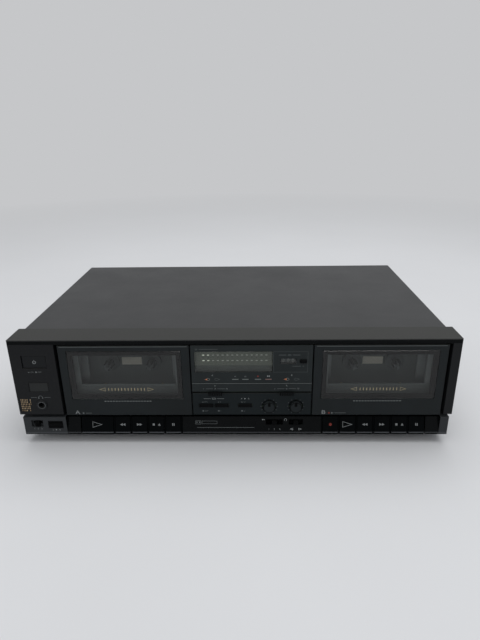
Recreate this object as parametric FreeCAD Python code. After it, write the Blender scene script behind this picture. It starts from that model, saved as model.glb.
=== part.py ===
"""Twin cassette deck with two auto-reverse wells, piano keys and a steel case.

All pieces are drawn in panel coordinates, in millimetres: X to the right of the middle of the front,
Y back from the front face of the frame, Z up from the underside of the lower trim.
save() moves them into the part's own frame, whose origin is the middle of the floor under the feet.
"""
import FreeCAD, Part
import math
import os

V = FreeCAD.Vector

# ---------------------------------------------------------------- overall sizes
WIDTH = 430.0            # across the front frame
HEIGHT = 104.3           # underside of the lower trim to the top of the frame
CASE_DEPTH = 262.0       # front face of the frame to the rear edge of the cover
FOOT_HEIGHT = 10.0
FRAME_DEPTH = 30.0       # how far the plastic frame reaches back
COVER_STEP = 3.8         # the cover is this much narrower than the frame on each side
COVER_DROP = 1.0         # the cover's top is this much lower than the frame's
SOCKET_PROUD = 6.0       # phono sockets beyond the cover's rear edge
KNOB_PROUD = 2.4         # rotary knobs in front of the frame
FRONT_Y = (KNOB_PROUD - CASE_DEPTH - SOCKET_PROUD) / 2   # puts the origin under the middle

# ---------------------------------------------------------------- walls and clearances
SHEET = 0.8              # cover steel
PLATE = 1.2              # chassis and rear panel steel
WALL = 2.5               # moulded walls
FACE = 3.0               # moulded front faces
RUN = 0.06               # radial running fit of a shaft in its hole
SLIP = 0.3               # gap round a button or slider in its opening
SEAT = 0.5               # how far a rib or boss is rooted in the wall that it grows from
OVER = 1.0               # a cutter runs past the face that it cuts by this much
GROOVE = 2.7             # dark groove between the frame and a door
JOIN_GAP = 1.1           # gap between a door and the centre panels
SET_BACK = 0.8           # doors and panels stand this far behind the frame's face

# ---------------------------------------------------------------- front layout
LEFT_BLOCK = 44.5        # width of the frame's left block
RIGHT_PILLAR = 8.6
TOP_BAR = 4.5            # height of the frame's front lip over the doors
TOP_BAR_T = 3.5          # thickness of that lip
FRAME_BOTTOM = 23.6
FRAME_RIM = 2.0          # rear rim of the frame round the cover's mouth
STRIP_TOP = 20.1         # top of the lower trim's end blocks
STRIP_SIDE = 2.2         # lower trim is this much narrower than the frame on each side
DOOR_WIDTH = 126.4
DOOR_BOTTOM = 22.0
DOOR_TOP_GAP = 1.6
PANEL_SPLIT = 46.9       # top of the lower centre panel
SPLIT_GAP = 1.8          # slot between the two centre panels

frame_left = -WIDTH / 2
frame_right = WIDTH / 2
bay_left = frame_left + LEFT_BLOCK
bay_right = frame_right - RIGHT_PILLAR
door_top = HEIGHT - TOP_BAR - DOOR_TOP_GAP
door_spans = {
    "a": (bay_left + GROOVE, bay_left + GROOVE + DOOR_WIDTH),
    "b": (bay_right - GROOVE - DOOR_WIDTH, bay_right - GROOVE),
}
bays = {deck: (span[0] + span[1]) / 2 for deck, span in door_spans.items()}
panel_left = door_spans["a"][1] + JOIN_GAP
panel_right = door_spans["b"][0] - JOIN_GAP
panel_mid = (panel_left + panel_right) / 2
cover_half = WIDTH / 2 - COVER_STEP
cover_top = HEIGHT - COVER_DROP

# ---------------------------------------------------------------- cassette well
HUB_Z = 68.0             # height of the reel spindles
HUB_HALF = 21.25         # half the distance between the two hubs of a cassette
CAPSTAN_HALF = 30.0
CAPSTAN_DROP = 27.0      # capstans below the hubs
CASSETTE_W = 100.4
CASSETTE_T = 12.0
POCKET_SLACK = 0.6       # play of the cassette in its pocket, each side
POCKET_Y = 11.6          # front of the pocket's clear depth
HOLDER_WALL = 1.6
HOLDER_TOP = 95.0
HOLDER_FLOOR = 30.4      # underside of the ledges that the cassette stands on
HOLDER_LIP = 7.5         # rear lips overlap the cassette by this much
FRONT_LIP = 3.5          # front lips overlap it by this much
PLATE_GAP = 5.2          # deck plate behind the holder
DECK_PLATE_T = 2.0
HINGE_Y = 7.5            # door hinge axis
HINGE_Z = 25.0
HINGE_R = 1.5

WINDOW_W = 100.4         # clear part of a door window
WINDOW_H = 42.4
WINDOW_Z = 45.3          # its lower edge
LENS_BORDER = 4.8        # bevelled border of the lens round the clear part
LENS_T = 2.0
LENS_PROUD = 0.7

# ---------------------------------------------------------------- piano keys
KEY_PITCH = 17.15
KEY_GAP = 2.0
KEY_TOP = 18.2
KEY_SLOPE = 4.6          # the key's face leans back by this much from lip to top
KEY_SKIN = 2.6
SHAFT_Y = 26.0
SHAFT_Z = 12.0
SHAFT_R = 1.5
HUB_R = 3.6
BLANK_W = 12.4           # fixed blank beside each bank

# ---------------------------------------------------------------- fasteners and feet
FOOT_R = 11.0
FOOT_TAPER = 1.2
FOOT_INSET_X = 45.0
FOOT_INSET_Y = 53.0
FOOT_SEAT_Z = -4.0       # screw heads sit this high inside the feet
SCREW_R = 1.6
SCREW_HEAD_R = 3.6
SCREW_HEAD_H = 1.5
SCREW_HOLE = 1.8
CROSS_W = 3.6            # cross recess in a screw head
CROSS_T = 0.7
CROSS_DEEP = 0.9

os.makedirs("parts", exist_ok=True)


# ---------------------------------------------------------------- small helpers
def block(x0, x1, y0, y1, z0, z1):
    """Box between two corners, given as three ranges."""
    return Part.makeBox(x1 - x0, y1 - y0, z1 - z0, V(x0, y0, z0))


def rod(radius, start, length, axis=(0, 1, 0)):
    """Cylinder from start along axis."""
    return Part.makeCylinder(radius, length, V(*start), V(*axis))


def cone(r0, r1, start, length, axis=(0, 1, 0)):
    return Part.makeCone(r0, r1, length, V(*start), V(*axis))


def extrude_x(outline, x0, x1):
    """Solid with a (y, z) outline, from x0 to x1."""
    points = [V(x0, y, z) for y, z in outline]
    face = Part.Face(Part.makePolygon(points + points[:1]))
    return face.extrude(V(x1 - x0, 0, 0))


def centred(place, width, height, y0, y1):
    """Box round an (x, z) point of the front, by its full width and height."""
    x, z = place
    return block(x - width / 2, x + width / 2, y0, y1, z - height / 2, z + height / 2)


def mirrored_span(middle, side, near_edge, far_edge):
    """Range between two distances from the middle, on the left (-1) or right (1)."""
    return sorted((middle + side * near_edge, middle + side * far_edge))


def join(first, *others):
    """One solid from pieces that touch or overlap."""
    return first.fuse(list(others)).removeSplitter()


def drill(solid, *tools):
    return solid.cut(list(tools))


def round_edges(solid, radius, wanted):
    """Fillet the edges whose two ends and middle all pass the test."""
    chosen = []
    for edge in solid.Edges:
        middle = edge.valueAt((edge.FirstParameter + edge.LastParameter) / 2)
        if wanted([v.Point for v in edge.Vertexes] + [middle]):
            chosen.append(edge)
    return solid.makeFillet(radius, chosen) if chosen else solid


def near(value, target):
    return abs(value - target) < 0.01


def round_front(solid, radius, y):
    """Fillet the edges that lie in the plane y."""
    return round_edges(solid, radius, lambda points: all(near(p.y, y) for p in points))


def round_roof_edges(solid, radius, half, top):
    """Fillet the two long upper edges of a case shell."""
    return round_edges(solid, radius, lambda points: all(
        near(p.z, top) and near(abs(p.x), half) for p in points))


def save(node, *solids):
    """Write one node's solids in the part's own frame."""
    shape = solids[0] if len(solids) == 1 else Part.makeCompound(list(solids))
    moved = shape.copy()
    moved.translate(V(0, FRONT_Y, FOOT_HEIGHT))
    if not moved.isValid():
        raise ValueError(node + " is not a valid shape")
    moved.exportStep("parts/" + node + ".step")


# ---------------------------------------------------------------- case
CHASSIS_Z = 1.0          # underside of the chassis floor
CHASSIS_SIDE = 26.0      # top of its side flanges
COVER_LIP = 2.0          # cover reaches behind the rear panel by this much
ROOF_ROUND = 2.2
ROOF_ROUND_IN = 1.4
VENT_COUNT = 9
VENT_PITCH = 9.0
VENT_SIZE = (3.0, 34.0)
VENT_INSET = 120.4       # middle of each vent field from the frame's end
VENT_BACK = 70.0         # front ends of the vents from the rear panel
TAB_H = 11.0             # screw tabs of chassis and cover
TAB_W = 16.0
TAB_SCREW = 5.5          # screw height above the floor and below the cover's roof
REAR_SCREW_INSET = 14.0
SIDE_SCREW_FRONT = 65.5
SIDE_SCREW_BACK = 36.7
SIDE_SCREW_Z = 14.0
chassis_half = cover_half - SHEET
panel_back = CASE_DEPTH - COVER_LIP          # outer face of the rear panel
panel_inside = panel_back - PLATE
floor_top = CHASSIS_Z + PLATE
roof = cover_top - SHEET
rear_screw_x = (REAR_SCREW_INSET - chassis_half, 0.0, chassis_half - REAR_SCREW_INSET)
rear_screw_z = (floor_top + TAB_SCREW, roof - TAB_SCREW)
side_screw_y = (SIDE_SCREW_FRONT, CASE_DEPTH - SIDE_SCREW_BACK)
foot_places = [
    (side * (WIDTH / 2 - FOOT_INSET_X), y)
    for side in (-1, 1)
    for y in (FOOT_INSET_Y, CASE_DEPTH - FOOT_INSET_Y)
]


def rear_screw_holes(z):
    """Clearance holes through the rear panel and the tabs in front of it."""
    start = panel_inside - 2 * PLATE
    return [rod(SCREW_HOLE, (x, start, z), panel_back + OVER - start) for x in rear_screw_x]


def side_screw_holes():
    return [rod(SCREW_HOLE, (-WIDTH, y, SIDE_SCREW_Z), 2 * WIDTH, (1, 0, 0)) for y in side_screw_y]


def screw_tabs(z0, z1):
    """Upright tabs in front of the rear panel, one for each rear screw."""
    half = TAB_W / 2
    return [block(x - half, x + half, panel_inside - PLATE, panel_inside, z0, z1) for x in rear_screw_x]


def bottom_chassis():
    floor = block(-chassis_half, chassis_half, FRAME_DEPTH, panel_inside, CHASSIS_Z, floor_top)
    flanges = []
    for side in (-1, 1):
        x0, x1 = mirrored_span(0, side, chassis_half - PLATE, chassis_half)
        flanges.append(block(x0, x1, FRAME_DEPTH, panel_inside, CHASSIS_Z, CHASSIS_SIDE))
    tray = join(floor, *flanges, *screw_tabs(CHASSIS_Z, floor_top + TAB_H))
    width, length = VENT_SIZE
    start = panel_back - VENT_BACK
    cuts = []
    for side in (-1, 1):
        for i in range(VENT_COUNT):
            x = side * (WIDTH / 2 - VENT_INSET) + (i - (VENT_COUNT - 1) / 2) * VENT_PITCH
            cuts.append(block(x - width / 2, x + width / 2, start, start + length, 0, floor_top + OVER))
    for x, y in foot_places:
        cuts.append(rod(SCREW_HOLE, (x, y, 0), floor_top + OVER, (0, 0, 1)))
    return drill(tray, *cuts, *rear_screw_holes(rear_screw_z[0]), *side_screw_holes())


def top_cover():
    outer = block(-cover_half, cover_half, FRAME_DEPTH, CASE_DEPTH, CHASSIS_Z, cover_top)
    outer = round_roof_edges(outer, ROOF_ROUND, cover_half, cover_top)
    inner = block(-chassis_half, chassis_half, FRAME_DEPTH - OVER, CASE_DEPTH + OVER, 0, roof)
    inner = round_roof_edges(inner, ROOF_ROUND_IN, chassis_half, roof)
    shell = join(outer.cut(inner), *screw_tabs(roof - TAB_H, roof + SHEET / 2))
    return drill(shell, *rear_screw_holes(rear_screw_z[1]), *side_screw_holes())


# rear sockets: four phono sockets in a square and the two-pin mains inlet
PHONO_R = 4.15
PHONO_BORE = 1.7
PHONO_BORE_DEEP = 9.0
PHONO_PITCH = 16.0
PHONO_INSET = 73.1       # middle of the square from the frame's left end
PHONO_Z = 54.0
PHONO_BODY = 15.0        # moulded block behind the panel
PHONO_EDGE = 6.0         # block beyond the outer sockets
PHONO_SNUG = 0.05        # collars in the panel's holes
INLET_INSET = 60.2       # inlet from the frame's right end
INLET_Z = 30.0
INLET_W = 17.6           # figure-eight mouth, outside width
INLET_H = 8.6
INLET_DEEP = 13.0
INLET_BODY = 18.0
INLET_WALL = 1.2
INLET_PIN = 1.2
INLET_PIN_HALF = 4.3
INLET_FLANGE = 2.6
phono_x = frame_left + PHONO_INSET
inlet_x = frame_right - INLET_INSET
inlet = (inlet_x, INLET_Z)
phono_places = [(phono_x + i * PHONO_PITCH / 2, PHONO_Z + k * PHONO_PITCH / 2)
                for i in (-1, 1) for k in (-1, 1)]


def stadium(place, width, height, y0, y1):
    """Slot shape with round ends, through Y."""
    x, z = place
    straight = (width - height) / 2
    ends = [rod(height / 2, (x + side * straight, y0, z), y1 - y0) for side in (-1, 1)]
    return join(centred(place, 2 * straight, height, y0, y1), *ends)


def rear_panel():
    sheet = block(-chassis_half, chassis_half, panel_inside, panel_back, CHASSIS_Z, roof)
    sheet = round_roof_edges(sheet, ROOF_ROUND_IN, chassis_half, roof)
    y0, y1 = panel_inside - OVER, panel_back + OVER
    holes = [rod(PHONO_R + SLIP, (x, y0, z), y1 - y0) for x, z in phono_places]
    edge = 2 * (INLET_WALL + SLIP)
    holes.append(centred(inlet, INLET_W + edge, INLET_H + edge, y0, y1))
    for z in rear_screw_z:
        holes += rear_screw_holes(z)
    return drill(sheet, *holes)


def phono_block():
    size = PHONO_PITCH + 2 * PHONO_EDGE
    body = centred((phono_x, PHONO_Z), size, size, panel_inside - PHONO_BODY, panel_inside)
    tip = CASE_DEPTH + SOCKET_PROUD
    collars = [rod(PHONO_R + SLIP - PHONO_SNUG, (x, panel_inside, z), PLATE) for x, z in phono_places]
    shells = [rod(PHONO_R, (x, panel_back, z), tip - panel_back) for x, z in phono_places]
    bores = [rod(PHONO_BORE, (x, tip - PHONO_BORE_DEEP, z), PHONO_BORE_DEEP + OVER) for x, z in phono_places]
    return drill(join(join(body, *collars), *shells), *bores)


def mains_inlet():
    face = panel_back + INLET_WALL
    body = centred(inlet, INLET_W + 2 * INLET_WALL, INLET_H + 2 * INLET_WALL, panel_back - INLET_BODY, face)
    flange = centred(inlet, INLET_W + 2 * INLET_FLANGE, INLET_H + 2 * INLET_FLANGE, panel_back, face)
    mouth = stadium(inlet, INLET_W, INLET_H, face - INLET_DEEP, face + OVER)
    start = panel_back - INLET_DEEP
    pins = [rod(INLET_PIN, (inlet_x + side * INLET_PIN_HALF, start, INLET_Z), INLET_DEEP - OVER)
            for side in (-1, 1)]
    return join(join(body, flange).cut(mouth), *pins)


def feet():
    solids = []
    for x, y in foot_places:
        foot = cone(FOOT_R - FOOT_TAPER, FOOT_R, (x, y, -FOOT_HEIGHT), FOOT_HEIGHT + CHASSIS_Z, (0, 0, 1))
        depth = FOOT_HEIGHT + FOOT_SEAT_Z
        recess = rod(SCREW_HEAD_R + 1.4, (x, y, -FOOT_HEIGHT - OVER), depth + OVER, (0, 0, 1))
        hole = rod(SCREW_HOLE, (x, y, -FOOT_HEIGHT), 3 * FOOT_HEIGHT, (0, 0, 1))
        solids.append(drill(foot, recess, hole))
    return solids


def screw(start, axis, length):
    """Pan-head screw: head on the start side, shank along axis, with a cross recess."""
    d = V(*axis)
    seat = V(*start)
    head = Part.makeCylinder(SCREW_HEAD_R, SCREW_HEAD_H, seat - d * SCREW_HEAD_H, d)
    rim = [e for e in head.Edges if e.Closed and near((e.Vertexes[0].Point - seat).dot(d), -SCREW_HEAD_H)]
    head = head.makeChamfer(0.5, rim)
    shank = Part.makeCylinder(SCREW_R, length, seat, d)
    across = V(d.z, d.x, d.y)
    cross = []
    for u in (across, d.cross(across)):
        arm = Part.makeBox(CROSS_W, CROSS_T, CROSS_DEEP + 0.1)
        arm.translate(V(-CROSS_W / 2, -CROSS_T / 2, -SCREW_HEAD_H - 0.1))
        turn = FreeCAD.Rotation(u, u.cross(d) * -1, d, "ZXY")
        arm.Placement = FreeCAD.Placement(seat, turn).multiply(arm.Placement)
        cross.append(arm)
    return drill(join(head, shank), *cross)


REAR_SCREW_L = 7.0
SIDE_SCREW_L = 6.0
FOOT_SCREW_L = 9.0


def case_screws():
    solids = [screw((x, panel_back, z), (0, -1, 0), REAR_SCREW_L) for x in rear_screw_x for z in rear_screw_z]
    for y in side_screw_y:
        solids.append(screw((cover_half, y, SIDE_SCREW_Z), (-1, 0, 0), SIDE_SCREW_L))
        solids.append(screw((-cover_half, y, SIDE_SCREW_Z), (1, 0, 0), SIDE_SCREW_L))
    return solids + [screw((x, y, FOOT_SEAT_Z), (0, 0, 1), FOOT_SCREW_L) for x, y in foot_places]


# ---------------------------------------------------------------- front frame
POWER_MID = (23.4, 81.4)             # from the frame's left edge, height
POWER_W = 24.1
POWER_H = 13.7
POWER_TUBE = 13.0                    # guide behind the opening reaches back to here
POWER_TUBE_WALL = 1.6
POWER_TRAVEL = 3.0
POWER_STEM = (4.0, 9.0)              # side, and length behind the guide
CAP_SKIN = 2.0
BLANK_MID = (24.0, 54.3)
BLANK_SIZE = (19.5, 10.5)
BLANK_DEEP = 0.6
JACK_MID = (24.1, 34.4)
JACK_RING = 5.4
JACK_BORE = 3.25
JACK_DEEP = 30.0
JACK_BARREL = 4.4
JACK_BODY = 14.0


def left_place(place):
    """Point on the left block, from a distance from the frame's edge and a height."""
    return frame_left + place[0], place[1]


def front_frame():
    outer = block(frame_left, frame_right, 0, FRAME_DEPTH, FRAME_BOTTOM, HEIGHT)
    outer = round_edges(outer, 1.0, lambda points: all(
        near(p.y, 0) and (near(abs(p.x), WIDTH / 2) or near(p.z, HEIGHT)) for p in points))
    ceiling = HEIGHT - FACE
    shelf = FRAME_BOTTOM + WALL
    rim_y = FRAME_DEPTH - FRAME_RIM
    back = FRAME_DEPTH + OVER
    pillar = bay_right + FRAME_RIM
    frame = drill(
        outer,
        block(bay_left, bay_right, -OVER, back, 0, HEIGHT - TOP_BAR),
        block(bay_left, bay_right, TOP_BAR_T, back, HEIGHT - TOP_BAR - OVER, ceiling),
        block(frame_left + WALL, bay_left - WALL, FACE, rim_y, shelf, ceiling),
        block(-chassis_half, bay_left - WALL, rim_y - OVER, back, shelf, ceiling),
        block(pillar, frame_right - WALL, FACE, rim_y, shelf, ceiling),
        block(pillar, chassis_half, rim_y - OVER, back, shelf, ceiling),
    )
    power = left_place(POWER_MID)
    wall = 2 * POWER_TUBE_WALL
    frame = join(frame, centred(power, POWER_W + wall, POWER_H + wall, FACE - SEAT, POWER_TUBE))
    jack_x, jack_z = left_place(JACK_MID)
    return drill(
        frame,
        centred(power, POWER_W, POWER_H, -OVER, POWER_TUBE + OVER),
        centred(left_place(BLANK_MID), *BLANK_SIZE, -OVER, BLANK_DEEP),
        rod(JACK_BARREL + SLIP / 2, (jack_x, -OVER, jack_z), FACE + 2 * OVER),
    )


def power_button():
    place = left_place(POWER_MID)
    cap = centred(place, POWER_W - 2 * SLIP, POWER_H - 2 * SLIP, SET_BACK, POWER_TUBE - POWER_TRAVEL)
    cap = round_front(cap, 0.6, SET_BACK)
    hollow = centred(place, POWER_W - 3 * CAP_SKIN, POWER_H - 3 * CAP_SKIN, SET_BACK + CAP_SKIN, POWER_TUBE)
    side, length = POWER_STEM
    stem = centred(place, side, side, SET_BACK + CAP_SKIN / 2, POWER_TUBE + length)
    return join(cap.cut(hollow), stem)


def phone_jack():
    x, z = left_place(JACK_MID)
    body = join(
        rod(JACK_RING, (x, -SET_BACK, z), SET_BACK),
        rod(JACK_BARREL, (x, -SET_BACK, z), FACE + SET_BACK + OVER),
        centred((x, z), JACK_BODY, JACK_BODY, FACE, JACK_DEEP + FACE),
    )
    body = round_edges(body, 0.4, lambda points: all(
        near(p.y, -SET_BACK) and math.hypot(p.x - x, p.z - z) > JACK_BARREL + SEAT for p in points))
    return body.cut(rod(JACK_BORE, (x, -SET_BACK - OVER, z), JACK_DEEP + OVER))


# ---------------------------------------------------------------- lower trim and keys
TRIM_RAIL_Y = 7.4        # front of the rail under the keys
RIB = 1.6
RIB_TOP = SHAFT_Z + 4.0
TIMER_SLOT = {"x": frame_left + 16.1, "z": 12.9, "w": 11.8, "h": 7.8}
DUB_SLOT = {"x": frame_left + 34.6, "z": 11.6, "w": 15.0, "h": 8.6}
MODE_SLOT = {"x": 40.5, "z": 12.6, "w": 17.0, "h": 5.2}
DIRECTION_SLOT = {"x": 62.0, "z": 12.6, "w": 14.0, "h": 5.2}
TIMER_STEM_SLOT = (9.2, 3.0)
TIMER_RECESS = 2.4
SLIDER_SLOT_DEEP = 12.0
END_BLOCK = (1.5, 2.4)   # left block past the bay, right block short of it
BLANK_GAP = (0.8, 0.6)   # groove between an end block and the blank beside it
KEY_UNITS_A = (("play", 2), ("rewind", 1), ("forward", 1), ("stop", 1), ("pause", 1))
KEY_NAMES_B = ("pause", "stop", "forward", "rewind", "play", "record")   # from the right
KEY_LIP = 1.7            # upright lip at the bottom of a key's face
KEY_ARM_HALF = 2.0
KEY_HUB_HALF = 3.5
strip_left = frame_left + STRIP_SIDE
strip_right = frame_right - STRIP_SIDE
left_block_edge = bay_left + END_BLOCK[0]
right_block_edge = bay_right - END_BLOCK[1]
bank_a_left = left_block_edge + BLANK_GAP[0] + BLANK_W      # first key of deck A starts here
bank_b_right = right_block_edge - BLANK_GAP[1] - BLANK_W    # last key of deck B ends here

keys = {}
cursor = bank_a_left + KEY_GAP / 2
for key_name, units in KEY_UNITS_A:
    keys["key_" + key_name + "_a"] = (cursor, cursor + units * KEY_PITCH - KEY_GAP)
    cursor += units * KEY_PITCH
bank_a_right = cursor
cursor = bank_b_right - KEY_GAP / 2
for key_name in KEY_NAMES_B:
    keys["key_" + key_name + "_b"] = (cursor - KEY_PITCH + KEY_GAP, cursor)
    cursor -= KEY_PITCH
bank_b_left = cursor
shaft_spans = {
    "a": (left_block_edge - WALL, bank_a_right + RIB),
    "b": (bank_b_left - RIB, right_block_edge + WALL),
}


def sloped_face(x0, x1):
    """Front skin of a key or of the fixed strip: lip at the bottom, leaning back to the top."""
    back = KEY_SKIN + 0.2
    outline = [(0.3, 0.2), (0, 0.5), (0, KEY_LIP), (KEY_SLOPE, KEY_TOP), (KEY_SLOPE + KEY_SKIN, KEY_TOP),
               (back, KEY_LIP + 0.2), (back, 0.2)]
    return extrude_x(outline, x0, x1)


def piano_key(x0, x1):
    middle = (x0 + x1) / 2

    def outer_end(points):
        x = points[0].x
        at_end = (near(x, x0) or near(x, x1)) and all(near(p.x, x) for p in points)
        return at_end and max(p.y - p.z * KEY_SLOPE / KEY_TOP for p in points) < 0.2

    face = round_edges(sloped_face(x0, x1), 0.5, outer_end)
    arm_top = SHAFT_Z + SHAFT_R
    arm_front = KEY_SLOPE * (arm_top - KEY_LIP) / (KEY_TOP - KEY_LIP) + KEY_SKIN / 8   # inside the leaning skin
    arm = block(middle - KEY_ARM_HALF, middle + KEY_ARM_HALF, arm_front, SHAFT_Y,
                SHAFT_Z - HUB_R + 0.1, arm_top)
    hub = rod(HUB_R, (middle - KEY_HUB_HALF, SHAFT_Y, SHAFT_Z), 2 * KEY_HUB_HALF, (1, 0, 0))
    reach = KEY_HUB_HALF + OVER
    bore = rod(SHAFT_R + RUN, (middle - reach, SHAFT_Y, SHAFT_Z), 2 * reach, (1, 0, 0))
    return join(face, arm, hub).cut(bore)


def key_shafts():
    return [rod(SHAFT_R, (x0, SHAFT_Y, SHAFT_Z), x1 - x0, (1, 0, 0)) for x0, x1 in shaft_spans.values()]


def slot_cut(slot, y1):
    """Cutter for a slider's slot, from in front of the face back to y1."""
    return centred((slot["x"], slot["z"]), slot["w"], slot["h"], -OVER, y1)


def lower_trim():
    rail = block(strip_left, strip_right, TRIM_RAIL_Y, FRAME_DEPTH, 0, floor_top)
    pieces = []
    for x0, x1 in ((strip_left, left_block_edge), (right_block_edge, strip_right)):
        solid = round_front(block(x0, x1, 0, FRAME_DEPTH, 0, STRIP_TOP), 0.8, 0)
        hollow = block(x0 + WALL, x1 - WALL, FACE + OVER, FRAME_DEPTH + OVER, WALL, STRIP_TOP - WALL)
        pieces.append(solid.cut(hollow))
    fixed = ((left_block_edge, bank_a_left), (bank_a_right, bank_b_left), (bank_b_right, right_block_edge))
    for x0, x1 in fixed:
        pieces.append(sloped_face(x0, x1))
        pieces.append(block(x0, x1, KEY_SKIN, TRIM_RAIL_Y + OVER, 0.2, floor_top))
    middle_a = (keys["key_forward_a"][0] + keys["key_rewind_a"][1]) / 2
    middle_b = (keys["key_rewind_b"][0] + keys["key_play_b"][1]) / 2
    rib_starts = (bank_a_left - RIB, middle_a - RIB / 2, bank_a_right,
                  bank_b_left - RIB, middle_b - RIB / 2, bank_b_right)
    for x in rib_starts:
        pieces.append(block(x, x + RIB, TRIM_RAIL_Y + 2, FRAME_DEPTH, floor_top - SEAT, RIB_TOP))
    # risers that carry the frame above the two end blocks, and ribs under the lower centre panel
    for x0, x1 in ((strip_left + 6, left_block_edge - 6), (right_block_edge + 2, strip_right - 1)):
        pieces.append(block(x0, x1, TRIM_RAIL_Y + 4.6, FRAME_DEPTH - FACE, STRIP_TOP - OVER, FRAME_BOTTOM))
    for x in panel_walls:
        pieces.append(block(x, x + RETURN_T, TRIM_RAIL_Y + OVER, RETURN_Y, floor_top - SEAT,
                            lower_bottom + SEAT))
    trim = join(rail, *pieces)
    cuts = [
        slot_cut(TIMER_SLOT, TIMER_RECESS),
        centred((TIMER_SLOT["x"], TIMER_SLOT["z"]), *TIMER_STEM_SLOT, -OVER, FACE + 2 * OVER),
        slot_cut(DUB_SLOT, FACE + 2 * OVER),
        slot_cut(MODE_SLOT, SLIDER_SLOT_DEEP),
        slot_cut(DIRECTION_SLOT, SLIDER_SLOT_DEEP),
    ]
    for x0, x1 in shaft_spans.values():
        cuts.append(rod(SHAFT_R + 0.02, (x0, SHAFT_Y, SHAFT_Z), x1 - x0, (1, 0, 0)))
    return drill(trim, *cuts)


SLIDER_W = 4.6           # finger pieces of the three small sliders
TIMER_W = 4.4
TIMER_PROUD = 0.4
STRIP_KNOB = (0.6, 8.0)  # front and back of a slider's finger piece in the sloped strip
STRIP_TAIL = (0.8, 0.5, 2.0)   # tail past the knob's sides, past the slot's edges, and its thickness
RIB_CUT = 0.5


def ribbed_knob(place, width, height, y0, y1, ribs):
    """Slide knob with upright finger ribs cut in its face."""
    knob = centred(place, width, height, y0, y1)
    step = width / (ribs + 1)
    left = place[0] - width / 2
    cuts = [centred((left + (i + 1) * step, place[1]), RIB_CUT, 2 * height, y0 - OVER, y0 + RIB_CUT)
            for i in range(ribs)]
    return drill(knob, *cuts)


def timer_slider():
    place = (TIMER_SLOT["x"], TIMER_SLOT["z"])
    cap = ribbed_knob(place, TIMER_W, TIMER_SLOT["h"] - 2 * SLIP, -TIMER_PROUD, TIMER_RECESS - SLIP, 3)
    stem_w = TIMER_STEM_SLOT[1] - 2 * SLIP
    return join(cap, centred(place, stem_w + 0.2, stem_w, OVER, FACE + 5))


def strip_slider(slot):
    """Slide knob in a slot of the sloped strip, held by a wider tail behind it."""
    place = (slot["x"], slot["z"])
    front, back = STRIP_KNOB
    side, edge, thickness = STRIP_TAIL
    cap = ribbed_knob(place, SLIDER_W, slot["h"] - 2 * SLIP, front, back, 2)
    tail = centred(place, SLIDER_W + 2 * side, slot["h"] + 2 * edge, back, back + thickness)
    return join(cap, tail)


def dub_button():
    x, z = DUB_SLOT["x"], DUB_SLOT["z"]
    width, height = DUB_SLOT["w"] - 2 * SLIP, DUB_SLOT["h"] - 2 * SLIP
    cap = centred((x, z), width, height, 0.6, 2 * FACE)
    bar = block(x - width / 2, x + width / 2, -0.6, 1.0, z - 1.0, z + 1.4)
    return join(cap, bar)


# ---------------------------------------------------------------- centre panels and their controls
PANEL_T = 2.0
RETURN_Y = 12.0          # panel side walls reach back to here
RETURN_T = 1.6
RETURN_INSET = 0.4       # side walls in from the panel's edges
POST_HALF = 2.0
POST_INSET = (5.0, 3.0)  # posts in from the panel's sides and ends
HANGER_HALF = 4.0        # two straps hang the upper panel from the frame's ceiling
HANGER_INSET = 8.0
HANGER_BACK = 9.0
LEDGE_Z = 58.2           # step across the upper panel
LEDGE_PROUD = 0.6
METER = {"x": -17.3, "w": 75.0, "h": 21.9, "from_top": 17.45}     # x from the panel's middle
METER_FLANGE = 1.2
COUNTER_X = 35.1
COUNTER_W = 14.8
COUNTER_H = 5.6
COUNTER_FROM_TOP = 16.85
RESET_X = 49.4
RESET_SIZE = (6.6, 3.6)
RESET_PROUD = 1.0
RESET_BACK = 9.0
DRUM_R = 5.2
DRUM_PITCH = 4.5
DRUM_W = 4.2
DRUM_AXLE = 1.0
CHEEK_T = 1.4            # plates that carry the drum axle
CHEEK_HALF = 4.0
BUTTONS = {"noise_button": -45.1, "noise_type_button": -29.6, "speed_button": -6.5}   # x from the middle
BUTTON_Z = 33.3
BUTTON_SIZE = (14.1, 3.9)
BUTTON_PROUD = 1.2
BUTTON_TRAVEL = 3.0
BUTTON_STEM = (3.0, 2.4)
SWITCH_BODY = (9.0, 7.0, 3.8)        # switch behind each button: width, height, depth
KNOBS = {"balance_knob": 17.1, "level_knob": 43.3}
KNOB_Z = 32.2
KNOB_R = 6.0
KNOB_RING = 6.7          # hole in the panel round each knob
KNOB_SHAFT = 2.0
KNOB_FLUTES = 24
FLUTE_R = 0.55
POINTER_W = 1.8
POT_R = 7.0
POT_DEEP = 6.0
BOARD_Y = 15.0           # front of the meter and control boards
BOARD_T = 1.6
TAPE_SELECT = {"a": -35.6, "b": 33.9}
TAPE_KNOB = (13.8, 3.4)
TAPE_KNOB_T = 1.8
TAPE_STEM_HALF = 3.0
upper_bottom = PANEL_SPLIT + SPLIT_GAP
lower_bottom = DOOR_BOTTOM + SEAT
panel_y = SET_BACK + PANEL_T
panel_walls = (panel_left + RETURN_INSET, panel_right - RETURN_INSET - RETURN_T)
meter_place = (panel_mid + METER["x"], door_top - METER["from_top"])
counter_place = (panel_mid + COUNTER_X, door_top - COUNTER_FROM_TOP)
reset_place = (panel_mid + RESET_X, counter_place[1])
drum_y = panel_y + DRUM_R + SEAT


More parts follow.
